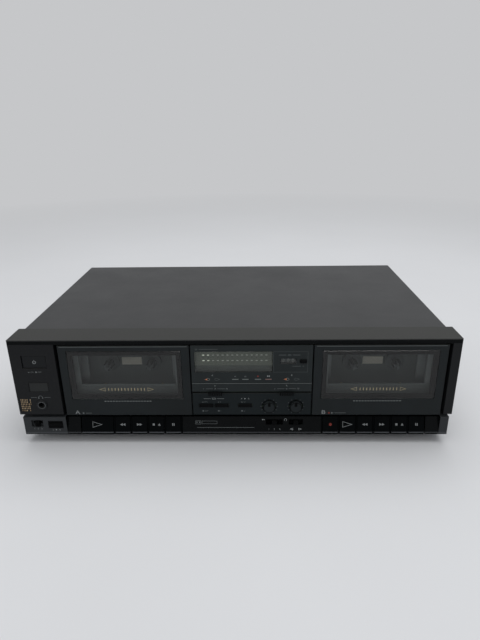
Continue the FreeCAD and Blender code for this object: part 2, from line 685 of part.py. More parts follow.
def shell_panel(z0, z1):
    """Flat panel with side walls, and posts that reach back to the board behind it."""
    sheet = round_front(block(panel_left, panel_right, SET_BACK, panel_y, z0, z1), 0.5, SET_BACK)
    walls = [block(x, x + RETURN_T, panel_y - OVER, RETURN_Y, z0 + SEAT, z1 - SEAT) for x in panel_walls]
    inset_x, inset_z = POST_INSET
    posts = [centred((x, z), 2 * POST_HALF, 2 * POST_HALF, panel_y - OVER, BOARD_Y)
             for x in (panel_left + inset_x, panel_right - inset_x) for z in (z0 + inset_z, z1 - inset_z)]
    return join(sheet, *walls, *posts)


def hanger(x):
    """Strap from the upper panel's back to the frame's ceiling, clear of the frame's front lip."""
    strap = block(x - HANGER_HALF, x + HANGER_HALF, panel_y - OVER, HANGER_BACK, door_top - 5, HEIGHT - FACE)
    return drill(strap, block(-WIDTH, WIDTH, -OVER, TOP_BAR_T + 0.1, door_top - 0.6, HEIGHT))


def meter_panel():
    hangers = [hanger(x) for x in (panel_left + HANGER_INSET, panel_right - HANGER_INSET)]
    panel = join(shell_panel(upper_bottom, door_top), *hangers)
    front = SET_BACK - LEDGE_PROUD
    outline = [(SET_BACK + SEAT, upper_bottom), (front, upper_bottom + 0.4), (front, LEDGE_Z - 0.6),
               (SET_BACK + SEAT, LEDGE_Z + 0.4)]
    ledge = extrude_x(outline, panel_left + 0.2, panel_right - 0.2)
    counter_x, counter_z = counter_place
    drums = 3 * DRUM_PITCH / 2 + 0.4
    z0, z1 = counter_z - CHEEK_HALF, counter_z + CHEEK_HALF
    cheeks = [block(x, x + CHEEK_T, panel_y - SEAT, drum_y + 3, z0, z1)
              for x in (counter_x - drums - CHEEK_T, counter_x + drums)]
    axle = rod(DRUM_AXLE, (counter_x - drums - OVER, drum_y, counter_z), 2 * (drums + OVER), (1, 0, 0))
    width, height = RESET_SIZE
    guide = centred(reset_place, width + 2.4, height + 2.4, panel_y - SEAT, RESET_BACK - OVER)
    panel = drill(
        join(panel, ledge, *cheeks, guide),
        centred(meter_place, METER["w"], METER["h"], -OVER, panel_y + OVER),
        centred(counter_place, COUNTER_W, COUNTER_H, -OVER, panel_y + 0.2),
        centred(reset_place, width, height, -OVER, RESET_BACK),
    )
    return join(panel, axle)


def meter_window():
    front = SET_BACK + 0.2
    plate = round_front(centred(meter_place, METER["w"] - 0.2, METER["h"] - 0.2, front, panel_y), 0.4, front)
    edge = 2 * METER_FLANGE
    flange = centred(meter_place, METER["w"] + edge, METER["h"] + edge, panel_y, panel_y + METER_FLANGE)
    return join(plate, flange)


def counter_drum(index):
    """Number wheel of the tape counter; index 0 is the units wheel, on the right."""
    x = counter_place[0] + (1 - index) * DRUM_PITCH - DRUM_W / 2
    z = counter_place[1]
    wheel = rod(DRUM_R, (x, drum_y, z), DRUM_W, (1, 0, 0))
    return wheel.cut(rod(DRUM_AXLE + RUN, (x - OVER, drum_y, z), DRUM_W + 2 * OVER, (1, 0, 0)))


def counter_reset():
    cap = centred(reset_place, RESET_SIZE[0] - 2 * SLIP, RESET_SIZE[1] - 2 * SLIP, -RESET_PROUD, RESET_BACK)
    return round_front(cap, 0.5, -RESET_PROUD)


def control_panel():
    width, height = BUTTON_SIZE
    cuts = [centred((panel_mid + x, BUTTON_Z), width, height, -OVER, panel_y + OVER)
            for x in BUTTONS.values()]
    cuts += [rod(KNOB_RING, (panel_mid + x, -OVER, KNOB_Z), panel_y + 2 * OVER) for x in KNOBS.values()]
    return drill(shell_panel(lower_bottom, PANEL_SPLIT), *cuts)


def push_button(x):
    place = (panel_mid + x, BUTTON_Z)
    front = SET_BACK - BUTTON_PROUD
    cap = centred(place, BUTTON_SIZE[0] - 2 * SLIP, BUTTON_SIZE[1] - 2 * SLIP, front, panel_y + 4)
    stem = centred(place, *BUTTON_STEM, panel_y + 3, BOARD_Y - OVER)
    return join(round_front(cap, 0.4, front), stem)


def rotary_knob(x):
    """Fluted knob with a pointer groove at the top, on its shaft."""
    cx = panel_mid + x
    cap = round_front(rod(KNOB_R, (cx, -KNOB_PROUD, KNOB_Z), KNOB_PROUD + panel_y + OVER), 0.6, -KNOB_PROUD)
    pointer = block(cx - POINTER_W / 2, cx + POINTER_W / 2, -KNOB_PROUD - OVER, -KNOB_PROUD + 0.8,
                    KNOB_Z + 1.2, KNOB_Z + KNOB_R + OVER)
    flutes = []
    ring = KNOB_R + 0.35
    for i in range(KNOB_FLUTES):
        angle = math.tau * i / KNOB_FLUTES
        if i != KNOB_FLUTES // 4:          # the pointer groove takes the place of the top flute
            spot = (cx + ring * math.cos(angle), -KNOB_PROUD + 0.9, KNOB_Z + ring * math.sin(angle))
            flutes.append(rod(FLUTE_R, spot, KNOB_PROUD))
    shaft = rod(KNOB_SHAFT, (cx, OVER, KNOB_Z), BOARD_Y - 3)
    return join(drill(cap, pointer, *flutes), shaft)


def tape_select(x):
    """Three-place slider whose stem rides in the slot between the two centre panels."""
    place = (panel_mid + x, PANEL_SPLIT + SPLIT_GAP / 2)
    front = SET_BACK - LEDGE_PROUD - SLIP
    knob = ribbed_knob((place[0], place[1] - 0.5), *TAPE_KNOB, front - TAPE_KNOB_T, front, 6)
    stem = centred(place, 2 * TAPE_STEM_HALF, SPLIT_GAP - SLIP, front - SEAT, BOARD_Y - SLIP)
    return join(knob, stem)


# ---------------------------------------------------------------- doors, windows and cassette holders
BOSS_R = 2.2             # screw bosses between door and holder, against the holder's sides
EAR_GAP = 1.9            # hinge ears outside the holder's sides
EAR_T = 2.2
ARM_GAP = 0.6            # side play between an ear and the arm that carries it
ARM_T = 2.0
EAR_R = 3.2
APRON_TOP = 52.0
APRON_BOTTOM = 27.0
REAR_LIP_Z = 47.0
LEDGE_IN = 37.0          # ledges under the cassette start this far from the bay's middle
LEDGE_T = 2.0
TAB_HALF = 5.0           # screw tabs beside the bosses
DOOR_T = 2.8
RIM_DEPTH = 8.0
RIM_T = 1.8
boss_heights = (35.0, 88.0)
pocket_half = CASSETTE_W / 2 + POCKET_SLACK
holder_half = pocket_half + HOLDER_WALL
pocket_back = POCKET_Y + CASSETTE_T + POCKET_SLACK
holder_back = pocket_back + HOLDER_WALL
apron_y = POCKET_Y - HOLDER_WALL
boss_x = holder_half + BOSS_R
ear_in = holder_half + EAR_GAP
ear_out = ear_in + EAR_T
arm_in = ear_out + ARM_GAP
arm_out = arm_in + ARM_T
ear_top = boss_heights[0] - BOSS_R - 0.4
lip_inner = CASSETTE_W / 2 - HOLDER_LIP
window_mid_z = WINDOW_Z + WINDOW_H / 2


def door(deck):
    x0, x1 = door_spans[deck]
    middle = bays[deck]
    back = SET_BACK + DOOR_T
    skin = round_front(block(x0, x1, SET_BACK, back, DOOR_BOTTOM, door_top), 0.9, SET_BACK)
    rim_top = door_top - 0.6
    rims = [block(x, x + RIM_T, back - OVER, RIM_DEPTH, DOOR_BOTTOM + 4, rim_top)
            for x in (x0 + SLIP, x1 - SLIP - RIM_T)]
    rims.append(block(x0 + SLIP, x1 - SLIP, back - OVER, RIM_DEPTH, rim_top - RIM_T, rim_top))
    bosses = [rod(BOSS_R, (middle + side * boss_x, back - OVER, z), apron_y - back + OVER)
              for side in (-1, 1) for z in boss_heights]
    window = (middle, window_mid_z)
    edge = 2 * LENS_BORDER
    return drill(
        join(skin, *rims, *bosses),
        centred(window, WINDOW_W, WINDOW_H, -OVER, back + OVER),
        centred(window, WINDOW_W + edge + 0.2, WINDOW_H + edge + 0.2, -OVER, SET_BACK + LENS_T - LENS_PROUD),
    )


def door_window(deck):
    front = SET_BACK - LENS_PROUD
    edge = 2 * LENS_BORDER
    lens = centred((bays[deck], window_mid_z), WINDOW_W + edge, WINDOW_H + edge, front, front + LENS_T)
    return lens.makeChamfer(0.6, [e for e in lens.Edges if all(near(v.Point.y, front) for v in e.Vertexes)])


def holder_side(middle, side):
    """One side of a cassette holder: wall, lips, ledge, screw tabs and hinge ear."""
    wall = mirrored_span(middle, side, pocket_half, holder_half)
    front_lip = mirrored_span(middle, side, pocket_half - FRONT_LIP, pocket_half)
    rear_lip = mirrored_span(middle, side, lip_inner, pocket_half)
    ledge = mirrored_span(middle, side, LEDGE_IN, holder_half)
    tab = mirrored_span(middle, side, holder_half - SEAT, ear_out)
    ear = mirrored_span(middle, side, ear_in, ear_out)
    corner = middle + side * lip_inner
    rear = block(*rear_lip, pocket_back, holder_back, REAR_LIP_Z, HOLDER_TOP)
    rear = round_edges(rear, 4.0, lambda points: all(
        near(p.x, corner) and near(p.z, REAR_LIP_Z) for p in points))
    pieces = [
        rear,
        block(*wall, apron_y, holder_back, HOLDER_FLOOR + 0.6, HOLDER_TOP),
        block(*front_lip, apron_y, POCKET_Y, HOLDER_FLOOR + 0.6, HOLDER_TOP),
        block(*ledge, apron_y, holder_back, HOLDER_FLOOR, HOLDER_FLOOR + LEDGE_T),
        rod(EAR_R, (ear[0], HINGE_Y, HINGE_Z), EAR_T, (1, 0, 0)),
        block(*ear, HINGE_Y, HINGE_Y + EAR_R, HINGE_Z, ear_top),
        block(*ear, apron_y - 1.5, POCKET_Y, HINGE_Z + 3, ear_top),
    ]
    pieces += [block(*tab, apron_y, POCKET_Y, z - TAB_HALF, z + TAB_HALF) for z in boss_heights]
    return pieces


def cassette_holder(deck):
    middle = bays[deck]
    apron = block(middle - holder_half, middle + holder_half, apron_y, POCKET_Y, APRON_BOTTOM, APRON_TOP)
    holder = join(apron, *holder_side(middle, -1), *holder_side(middle, 1))
    return holder.cut(rod(HINGE_R + RUN, (middle - arm_out, HINGE_Y, HINGE_Z), 2 * arm_out, (1, 0, 0)))


# ---------------------------------------------------------------- tape transports
PLATE_EDGE = 1.9         # deck plate past the hinge arms
PLATE_FOOT = 14.0        # its flange on the chassis floor
CAPSTAN_R = 1.2
CAPSTAN_TIP = 16.0       # capstans in front of the deck plate
CAPSTAN_BOSS = 3.5
CAPSTAN_BEARING = 23.0   # bearing tube behind the plate's front
FLYWHEEL_R = 23.0
FLYWHEEL_T = 7.0
FLYWHEEL_GAP = 3.0
FLYWHEEL_RIM = 5.0
DISH = 2.5               # depth of the dish in a flywheel's face
SPINDLE_SHAFT = 1.5
SPINDLE_BOSS = 4.0
SPINDLE_BOSS_L = 11.0
SPINDLE_LENGTH = 16.8    # shaft from the reel table back
TABLE_R = 9.5
TABLE_T = 3.0
SPINDLE_CORE = 3.0
SPINDLE_POINT = 1.4
POINT_L = 2.3
CORE_L = 11.7            # core in front of the reel table
FIN_COUNT = 6
FIN_T = 1.2
FIN_R = 4.6
MOTOR_R = 17.0
MOTOR_Z = 80.0
MOTOR_L = 23.0
MOTOR_BORE = 16.0
PULLEY_R = 5.0
PULLEY_GROOVE = 0.8
MOTOR_SHAFT = 1.0
CARRIAGE_T = 1.8
CARRIAGE_GAP = 2.0       # carriage in front of the deck plate
CARRIAGE_HALF = 36.0
CARRIAGE_Z = (19.9, 31.5)
CARRIAGE_TRAVEL = 6.0
CARRIAGE_PIN = 1.4       # guide pins in the carriage's slots
CARRIAGE_PIN_X = 17.0
CARRIAGE_PIN_Z = 28.3
PIN_FLANGE = 1.0
PIN_PLAY = 0.08
HEAD_HALF = 6.2
HEAD_Z = (21.0, 31.4)
HEAD_GAP = 1.2           # head behind the apron
ROLLER_R = 5.0
ROLLER_W = 7.4
ROLLER_Z = 28.4
ROLLER_AXLE = 1.0
plate_y = holder_back + PLATE_GAP            # front of the deck plate
plate_back = plate_y + DECK_PLATE_T
plate_half = arm_out + PLATE_EDGE
carriage_y = plate_y - CARRIAGE_GAP - CARRIAGE_T
bearing_back = plate_y + CAPSTAN_BEARING
flywheel_y = bearing_back + FLYWHEEL_GAP
motor_back = plate_back + MOTOR_L
capstan_z = HUB_Z - CAPSTAN_DROP
roller_y = POCKET_Y + FACE


def plate_bearings(middle, side):
    """Spindle and capstan bearings on one side of a deck plate, with their bores."""
    hub_x = middle + side * HUB_HALF
    capstan_x = middle + side * CAPSTAN_HALF
    solids = [rod(SPINDLE_BOSS, (hub_x, plate_y, HUB_Z), SPINDLE_BOSS_L),
              rod(CAPSTAN_BOSS, (capstan_x, plate_y, capstan_z), CAPSTAN_BEARING)]
    start = plate_y - OVER
    bores = [rod(SPINDLE_SHAFT + RUN, (hub_x, start, HUB_Z), SPINDLE_BOSS_L + 2 * OVER),
             rod(CAPSTAN_R + RUN, (capstan_x, start, capstan_z), CAPSTAN_BEARING + 2 * OVER)]
    return solids, bores


def guide_pin(x):
    """Pin with two flanges that holds the head carriage and lets it slide up."""
    start = carriage_y - SLIP
    behind = carriage_y + CARRIAGE_T + 0.2
    return [
        rod(CARRIAGE_PIN, (x, start, CARRIAGE_PIN_Z), plate_y + SEAT - start),
        rod(CARRIAGE_PIN + PIN_FLANGE, (x, carriage_y - 1.0, CARRIAGE_PIN_Z), 0.8),
        rod(CARRIAGE_PIN + PIN_FLANGE, (x, behind, CARRIAGE_PIN_Z), plate_y + 0.2 - behind),
    ]


def hinge_arm(middle, side):
    """Arm from the deck plate to the door's hinge axis, with the hinge pin."""
    x0, x1 = mirrored_span(middle, side, arm_in, arm_out)
    p0, p1 = mirrored_span(middle, side, ear_in - 0.4, arm_out)
    return [
        rod(EAR_R, (x0, HINGE_Y, HINGE_Z), x1 - x0, (1, 0, 0)),
        block(x0, x1, HINGE_Y, plate_y + OVER, HINGE_Z - EAR_R, HINGE_Z + EAR_R),
        rod(HINGE_R, (p0, HINGE_Y, HINGE_Z), p1 - p0, (1, 0, 0)),
    ]


def deck_plate(deck):
    c = bays[deck]
    plate = block(c - plate_half, c + plate_half, plate_y, plate_back, floor_top, HOLDER_TOP + OVER)
    pieces = [block(c - plate_half, c + plate_half, plate_y, plate_y + PLATE_FOOT, floor_top,
                    floor_top + DECK_PLATE_T)]
    cuts = []
    for side in (-1, 1):
        solids, bores = plate_bearings(c, side)
        pieces += solids + guide_pin(c + side * CARRIAGE_PIN_X) + hinge_arm(c, side)
        cuts += bores
    return drill(join(plate, *pieces), *cuts)


def motor_can(deck):
    c = bays[deck]
    can = round_front(rod(MOTOR_R, (c, plate_back, MOTOR_Z), MOTOR_L), 1.5, motor_back)
    return can.cut(rod(MOTOR_SHAFT + RUN, (c, motor_back - MOTOR_BORE, MOTOR_Z), MOTOR_BORE + OVER))


def motor_pulley(deck):
    c = bays[deck]
    wheel = rod(PULLEY_R, (c, flywheel_y + SEAT, MOTOR_Z), FLYWHEEL_T - OVER)
    groove = rod(PULLEY_R + OVER, (c, flywheel_y + 2, MOTOR_Z), FLYWHEEL_T - 4)
    groove = groove.cut(rod(PULLEY_R - PULLEY_GROOVE, (c, flywheel_y, MOTOR_Z), FLYWHEEL_T))
    start = motor_back - MOTOR_BORE + 2
    shaft = rod(MOTOR_SHAFT, (c, start, MOTOR_Z), flywheel_y + 5 - start)
    return join(wheel.cut(groove), shaft)


def capstan(deck, side):
    x = bays[deck] + side * CAPSTAN_HALF
    tip = plate_y - CAPSTAN_TIP
    shaft = rod(CAPSTAN_R, (x, tip, capstan_z), flywheel_y + FLYWHEEL_T + OVER - tip)
    wheel = rod(FLYWHEEL_R, (x, flywheel_y, capstan_z), FLYWHEEL_T)
    dish = rod(FLYWHEEL_R - FLYWHEEL_RIM, (x, flywheel_y - OVER, capstan_z), DISH + OVER)
    dish = dish.cut(rod(FLYWHEEL_RIM, (x, flywheel_y - 2 * OVER, capstan_z), DISH + 4 * OVER))
    return join(wheel.cut(dish), shaft)


def spindle(deck, side):
    """Reel table with a finned hub that drives a cassette reel."""
    x = bays[deck] + side * HUB_HALF
    table = rod(TABLE_R, (x, carriage_y, HUB_Z), TABLE_T)
    core_front = carriage_y - CORE_L
    core = rod(SPINDLE_CORE, (x, core_front, HUB_Z), CORE_L + SEAT)
    tip = cone(SPINDLE_POINT, SPINDLE_CORE, (x, core_front - POINT_L, HUB_Z), POINT_L)
    shaft = rod(SPINDLE_SHAFT, (x, carriage_y, HUB_Z), SPINDLE_LENGTH)
    fins = []
    for i in range(FIN_COUNT):
        fin = block(x - FIN_T / 2, x + FIN_T / 2, core_front, carriage_y + SEAT, HUB_Z + OVER, HUB_Z + FIN_R)
        fin.rotate(V(x, 0, HUB_Z), V(0, 1, 0), i * 360 / FIN_COUNT)
        fins.append(fin)
    return join(table, core, tip, shaft, *fins)


def head_carriage(deck):
    """Sliding base with the tape head and two pinch rollers."""
    c = bays[deck]
    base = block(c - CARRIAGE_HALF, c + CARRIAGE_HALF, carriage_y, carriage_y + CARRIAGE_T, *CARRIAGE_Z)
    half = CARRIAGE_PIN + PIN_PLAY
    y0, y1 = carriage_y - OVER, carriage_y + CARRIAGE_T + OVER
    slots = []
    for side in (-1, 1):
        x = c + side * CARRIAGE_PIN_X
        slots.append(block(x - half, x + half, y0, y1, CARRIAGE_PIN_Z - CARRIAGE_TRAVEL, CARRIAGE_PIN_Z))
        slots += [rod(half, (x, y0, CARRIAGE_PIN_Z - drop), y1 - y0) for drop in (0, CARRIAGE_TRAVEL)]
    roller_x = [c + side * CAPSTAN_HALF for side in (-1, 1)]
    axle_y = roller_y - 0.6
    axles = [rod(ROLLER_AXLE, (x, axle_y, ROLLER_Z), carriage_y + 0.5 - axle_y) for x in roller_x]
    frame = drill(join(base, *axles), *slots)
    head = block(c - HEAD_HALF, c + HEAD_HALF, POCKET_Y + HEAD_GAP, carriage_y, *HEAD_Z)
    head = round_edges(head, 2.5, lambda points: all(
        near(p.z, HEAD_Z[1]) and near(abs(p.x - c), HEAD_HALF) for p in points))
    rollers = [rod(ROLLER_R, (x, roller_y, ROLLER_Z), ROLLER_W).cut(
        rod(ROLLER_AXLE + RUN, (x, roller_y - OVER, ROLLER_Z), ROLLER_W + 2 * OVER)) for x in roller_x]
    return [frame, head] + rollers


# ---------------------------------------------------------------- circuit boards
MAIN_INSET = (43.0, 94.6)            # main board in from the frame's left and right ends
MAIN_FRONT = 82.0
MAIN_BACK = 30.0                     # and from the rear edge of the cover
MAIN_Z = 10.0
PILLAR_R = 3.0
PILLAR_INSET = 8.0
CAPACITORS = (           # x and y from the board's front left corner, radius, height
    (112.0, 60, 6.0, 22.0),
    (142.0, 90, 8.0, 28.0),
    (172.0, 70, 5.0, 16.0),
    (197.0, 100, 5.0, 16.0),
    (82.0, 110, 4.0, 12.0),
)
CHIPS = ((52, 40), (102, 30), (152, 30), (202, 40), (232, 80))
CHIP_SIZE = (20.0, 8.0, 5.0)
HEAT_SINK = {"inset": 44.0, "y0": 20.0, "y1": 60.0, "fins": 7, "pitch": 6.0, "t": 2.0, "h": 33.0}
TRANSFORMER = {"w": 52.0, "core": 22.0, "h": 46.0, "from_back": 112.0}
COIL = {"w": 31.2, "front": 9.7, "back": 31.7, "edge": 8.0}
LAMP_EDGE = 4.0                      # meter lamp block in from the meter opening


def capacitor(x, y, radius, height):
    return rod(radius, (x, y, MAIN_Z + OVER), height, (0, 0, 1))


def heat_sink(right, front):
    """Finned sink: upright fins joined by one cross web."""
    s = HEAT_SINK
    starts = [right - s["inset"] + s["pitch"] * i for i in range(s["fins"])]
    z0 = MAIN_Z + OVER
    z1 = z0 + s["h"]
    y0, y1 = front + s["y0"], front + s["y1"]
    middle = (y0 + y1) / 2
    web = block(starts[0], starts[-1] + s["t"], middle - s["t"] / 2, middle + s["t"], z0, z1)
    return [block(x, x + s["t"], y0, y1, z0, z1) for x in starts] + [web]


def main_board():
    x0, x1 = frame_left + MAIN_INSET[0], frame_right - MAIN_INSET[1]
    y0, y1 = MAIN_FRONT, CASE_DEPTH - MAIN_BACK
    board = block(x0, x1, y0, y1, MAIN_Z, MAIN_Z + BOARD_T)
    inset = PILLAR_INSET
    pieces = [rod(PILLAR_R, (x, y, floor_top), MAIN_Z - floor_top + SEAT, (0, 0, 1))
              for x in (x0 + inset, x1 - inset) for y in (y0 + inset, y1 - inset)]
    pieces += [capacitor(x0 + x, y0 + y, radius, height) for x, y, radius, height in CAPACITORS]
    length, width, height = CHIP_SIZE
    for x, y in CHIPS:
        pieces.append(block(x0 + x - length / 2, x0 + x + length / 2, y0 + y - width / 2, y0 + y + width / 2,
                            MAIN_Z + OVER, MAIN_Z + OVER + height))
    return join(board, *pieces, *heat_sink(x1, y0))


def transformer():
    half = TRANSFORMER["w"] / 2
    y0 = CASE_DEPTH - TRANSFORMER["from_back"]
    y1 = y0 + TRANSFORMER["core"]
    top = floor_top + TRANSFORMER["h"]
    core = block(inlet_x - half, inlet_x + half, y0, y1, floor_top, top)
    coil = block(inlet_x - COIL["w"] / 2, inlet_x + COIL["w"] / 2, y0 - COIL["front"], y0 + COIL["back"],
                 floor_top + COIL["edge"], top - COIL["edge"])
    wide = half + COIL["edge"]
    foot = block(inlet_x - wide, inlet_x + wide, y0, y1, floor_top, floor_top + 2)
    return join(core, coil, foot)


def panel_board(z0, z1):
    """Board behind a centre panel."""
    return block(panel_left + OVER, panel_right - OVER, BOARD_Y, BOARD_Y + BOARD_T, z0, z1)


def meter_board():
    board = panel_board(upper_bottom + 2, door_top - 1)
    lamp = centred(meter_place, METER["w"] - LAMP_EDGE, METER["h"] - LAMP_EDGE, panel_y + 2, BOARD_Y)
    return join(board, lamp)


def control_board():
    board = panel_board(lower_bottom + SEAT, PANEL_SPLIT - 1)
    width, height, depth = SWITCH_BODY
    pieces = []
    for x in KNOBS.values():
        pot = rod(POT_R, (panel_mid + x, BOARD_Y - POT_DEEP, KNOB_Z), POT_DEEP + SEAT)
        bore = rod(KNOB_SHAFT + RUN, (panel_mid + x, BOARD_Y - POT_DEEP - 2, KNOB_Z), POT_DEEP)
        pieces.append(pot.cut(bore))
    for x in BUTTONS.values():
        pieces.append(centred((panel_mid + x, BUTTON_Z), width, height, BOARD_Y - depth, BOARD_Y + SEAT))
    stem_w, stem_h = BUTTON_STEM
    y0, y1 = BOARD_Y - 8, BOARD_Y + BUTTON_TRAVEL
    pockets = [centred((panel_mid + x, BUTTON_Z), stem_w + SLIP, stem_h + SLIP, y0, y1)
               for x in BUTTONS.values()]
    return drill(join(board, *pieces), *pockets)


# ---------------------------------------------------------------- build every node
save("bottom_chassis", bottom_chassis())
save("top_cover", top_cover())
save("rear_panel", rear_panel())
save("rear_sockets", phono_block(), mains_inlet())
save("feet", *feet())
save("case_screws", *case_screws())
save("front_frame", front_frame())
save("power_button", power_button())
save("phone_jack", phone_jack())
save("lower_trim", lower_trim())
save("key_shafts", *key_shafts())
for key_name, key_span in keys.items():
    save(key_name, piano_key(*key_span))
save("timer_slider", timer_slider())
save("dub_button", dub_button())
save("mode_slider", strip_slider(MODE_SLOT))
save("direction_slider", strip_slider(DIRECTION_SLOT))
save("meter_panel", meter_panel())
save("meter_window", meter_window())
for drum_index, drum_name in enumerate(("units", "tens", "hundreds")):
    save("counter_" + drum_name, counter_drum(drum_index))
save("counter_reset", counter_reset())
save("control_panel", control_panel())
for button_name, button_x in BUTTONS.items():
    save(button_name, push_button(button_x))
for knob_name, knob_x in KNOBS.items():
    save(knob_name, rotary_knob(knob_x))
for deck_name in ("a", "b"):
    save("tape_select_" + deck_name, tape_select(TAPE_SELECT[deck_name]))
    save("door_" + deck_name, door(deck_name))
    save("door_window_" + deck_name, door_window(deck_name))
    save("cassette_holder_" + deck_name, cassette_holder(deck_name))
    save("motor_pulley_" + deck_name, motor_pulley(deck_name))
    save("head_carriage_" + deck_name, *head_carriage(deck_name))
    for side_name, side_sign in (("left", -1), ("right", 1)):
        save("spindle_" + side_name + "_" + deck_name, spindle(deck_name, side_sign))
        save("capstan_" + side_name + "_" + deck_name, capstan(deck_name, side_sign))
save("tape_transports", *[make(deck_name) for deck_name in ("a", "b") for make in (deck_plate, motor_can)])
save("circuit_boards", main_board(), transformer(), meter_board(), control_board())
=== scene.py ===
# %% [markdown]
# # A twin cassette deck, from steel case to printed symbols
#
# The object is a full-width hi-fi deck with two drop-forward cassette wells, a row of piano keys under each
# well, and a centre panel with a level meter and a tape counter. Its parts come ready made and in place.
# What is left is the work of a finisher: paint, moulded plastic, smoked windows, lamps and printing.
# The parts could be retouched by hand in the viewport, but a script can be read, changed and run again.

# %% Load the frame
import math
import bmesh
import bpy
from mathutils import Matrix, Vector


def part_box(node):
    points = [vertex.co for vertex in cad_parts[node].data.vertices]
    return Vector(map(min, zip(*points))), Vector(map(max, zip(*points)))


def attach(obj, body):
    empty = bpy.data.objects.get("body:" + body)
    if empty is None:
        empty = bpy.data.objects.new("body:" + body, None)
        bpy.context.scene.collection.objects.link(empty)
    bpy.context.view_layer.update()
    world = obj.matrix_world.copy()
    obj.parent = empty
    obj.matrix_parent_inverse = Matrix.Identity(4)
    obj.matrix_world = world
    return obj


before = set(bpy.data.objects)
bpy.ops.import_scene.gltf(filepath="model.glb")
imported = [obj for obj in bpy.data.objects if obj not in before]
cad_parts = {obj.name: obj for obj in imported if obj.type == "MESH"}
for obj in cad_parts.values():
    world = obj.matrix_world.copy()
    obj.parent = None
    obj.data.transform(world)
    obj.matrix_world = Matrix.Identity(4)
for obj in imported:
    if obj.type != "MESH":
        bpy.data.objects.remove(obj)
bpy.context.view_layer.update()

# %% [markdown]
# ## One set of coordinates for the whole front
#
# Everything on a front panel is measured from the panel: across from the middle, back from its face, and up
# from the underside of the lower trim. One function turns such a point, in millimetres, into scene metres.
# The alternative is to type scene coordinates everywhere, and then no number means anything to a reader.

# %% Panel coordinates
MM = 0.001
FRONT_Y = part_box("front_frame")[0][1]
BASE_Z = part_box("lower_trim")[0][2]


def at(x, y, z):
    return Vector((x * MM, FRONT_Y + y * MM, BASE_Z + z * MM))


def panel_box(node):
    """A node's corners in panel millimetres."""
    low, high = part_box(node)
    shift = Vector((0, FRONT_Y, BASE_Z))
    return (Vector(low) - shift) / MM, (Vector(high) - shift) / MM


def middle(node):
    low, high = panel_box(node)
    return (low + high) / 2


DECKS = ("a", "b")
SIDES = (("left", -1), ("right", 1))
bay = {deck: middle("door_window_" + deck).x for deck in DECKS}
print("middle of each cassette bay", {deck: round(x, 1) for deck, x in bay.items()})

# %% [markdown]
# ## Colours and node trees
#
# Colours are written as sRGB hex, as a colour card or a paint chart gives them, and one function turns them
# to the linear values that shaders need. One more function adds a node, sets it and wires it, in a material
# and in Geometry Nodes alike, so that a tree reads as a short list of what is in it.

# %% Colour and node helpers


def srgb(code, alpha=1.0):
    """sRGB hex to linear RGBA."""
    values = []
    for i in (1, 3, 5):
        c = int(code[i:i + 2], 16) / 255
        values.append(c / 12.92 if c <= 0.04045 else ((c + 0.055) / 1.055) ** 2.4)
    return (*values, alpha)


def wire(tree, node, inputs):
    """Set inputs, by name or number, to values, or wire in sockets or the first output of nodes."""
    for key, value in inputs.items():
        socket = next(s for i, s in enumerate(node.inputs) if s.enabled and key in (i, s.name))
        if isinstance(value, bpy.types.Node):
            value = next(s for s in value.outputs if s.enabled)
        if isinstance(value, bpy.types.NodeSocket):
            tree.links.new(value, socket)
        else:
            socket.default_value = value


def add(tree, kind, inputs=None, stops=(), **settings):
    """Add a node with its settings, its inputs and, on a colour ramp, its (position, hex) stops."""
    node = tree.nodes.new(kind)
    for key, value in settings.items():
        setattr(node, key, value)
    wire(tree, node, inputs or {})
    for i, (position, code) in enumerate(stops):
        stop = node.color_ramp.elements[i] if i < 2 else node.color_ramp.elements.new(position)
        stop.position = position
        stop.color = srgb(code)
    return node


def new_material(name, shader_kind="ShaderNodeBsdfPrincipled"):
    """Material with one shader wired to its output; also returns the Object coordinates."""
    material = bpy.data.materials.new(name)
    material.use_nodes = True
    tree = material.node_tree
    tree.nodes.clear()
    shader = add(tree, shader_kind)
    add(tree, "ShaderNodeOutputMaterial", {"Surface": shader})
    return material, tree, shader, add(tree, "ShaderNodeTexCoord").outputs["Object"]


def blobs(size_mm, detail=4.0, rough=0.55):
    """Settings of a noise whose blobs are about size_mm across."""
    return {"Scale": 1 / (size_mm * MM), "Detail": detail, "Roughness": rough}


NOISE_SPAN = {"From Min": 0.3, "From Max": 0.7}    # where nearly all values of a noise lie
print("helpers ready; mid grey is", [round(v, 3) for v in srgb("#808080")])

# %% [markdown]
# ## Edges that catch the light
#
# No moulded or pressed edge is a perfect corner. A radius of a few tenths of a millimetre draws the thin
# bright lines that show where one part ends. The Bevel node rounds the shading there and leaves the shape
# alone. Comparing its normal with the true one also tells where an edge is, so that edges can look rubbed.

# %% Rubbed edges
# pale grey of rubbed edges and dust; it is also the colour of the painted highlight on faces that look up
RUB_AND_HIGHLIGHT_GREY = "#7c7c76"


def edge_wear(tree, rounded, grime_and_foot_shade, amount):
    """How worn a point is: 0 on flat faces, up to amount on edges, broken up by a pattern of dirt."""
    face = add(tree, "ShaderNodeNewGeometry").outputs["True Normal"]
    same = add(tree, "ShaderNodeVectorMath", {0: rounded, 1: face}, operation="DOT_PRODUCT")
    edge = add(tree, "ShaderNodeMapRange", {"Value": same, "From Min": 0.80, "From Max": 0.97,
                                           "To Min": 1.0, "To Max": 0.0})
    patchy = add(tree, "ShaderNodeMapRange", {"Value": grime_and_foot_shade, "From Min": 0.40, "From Max": 0.62,
                                             "To Max": amount})
    return add(tree, "ShaderNodeMath", {0: edge, 1: patchy}, operation="MULTIPLY")


print("edge wear ready")
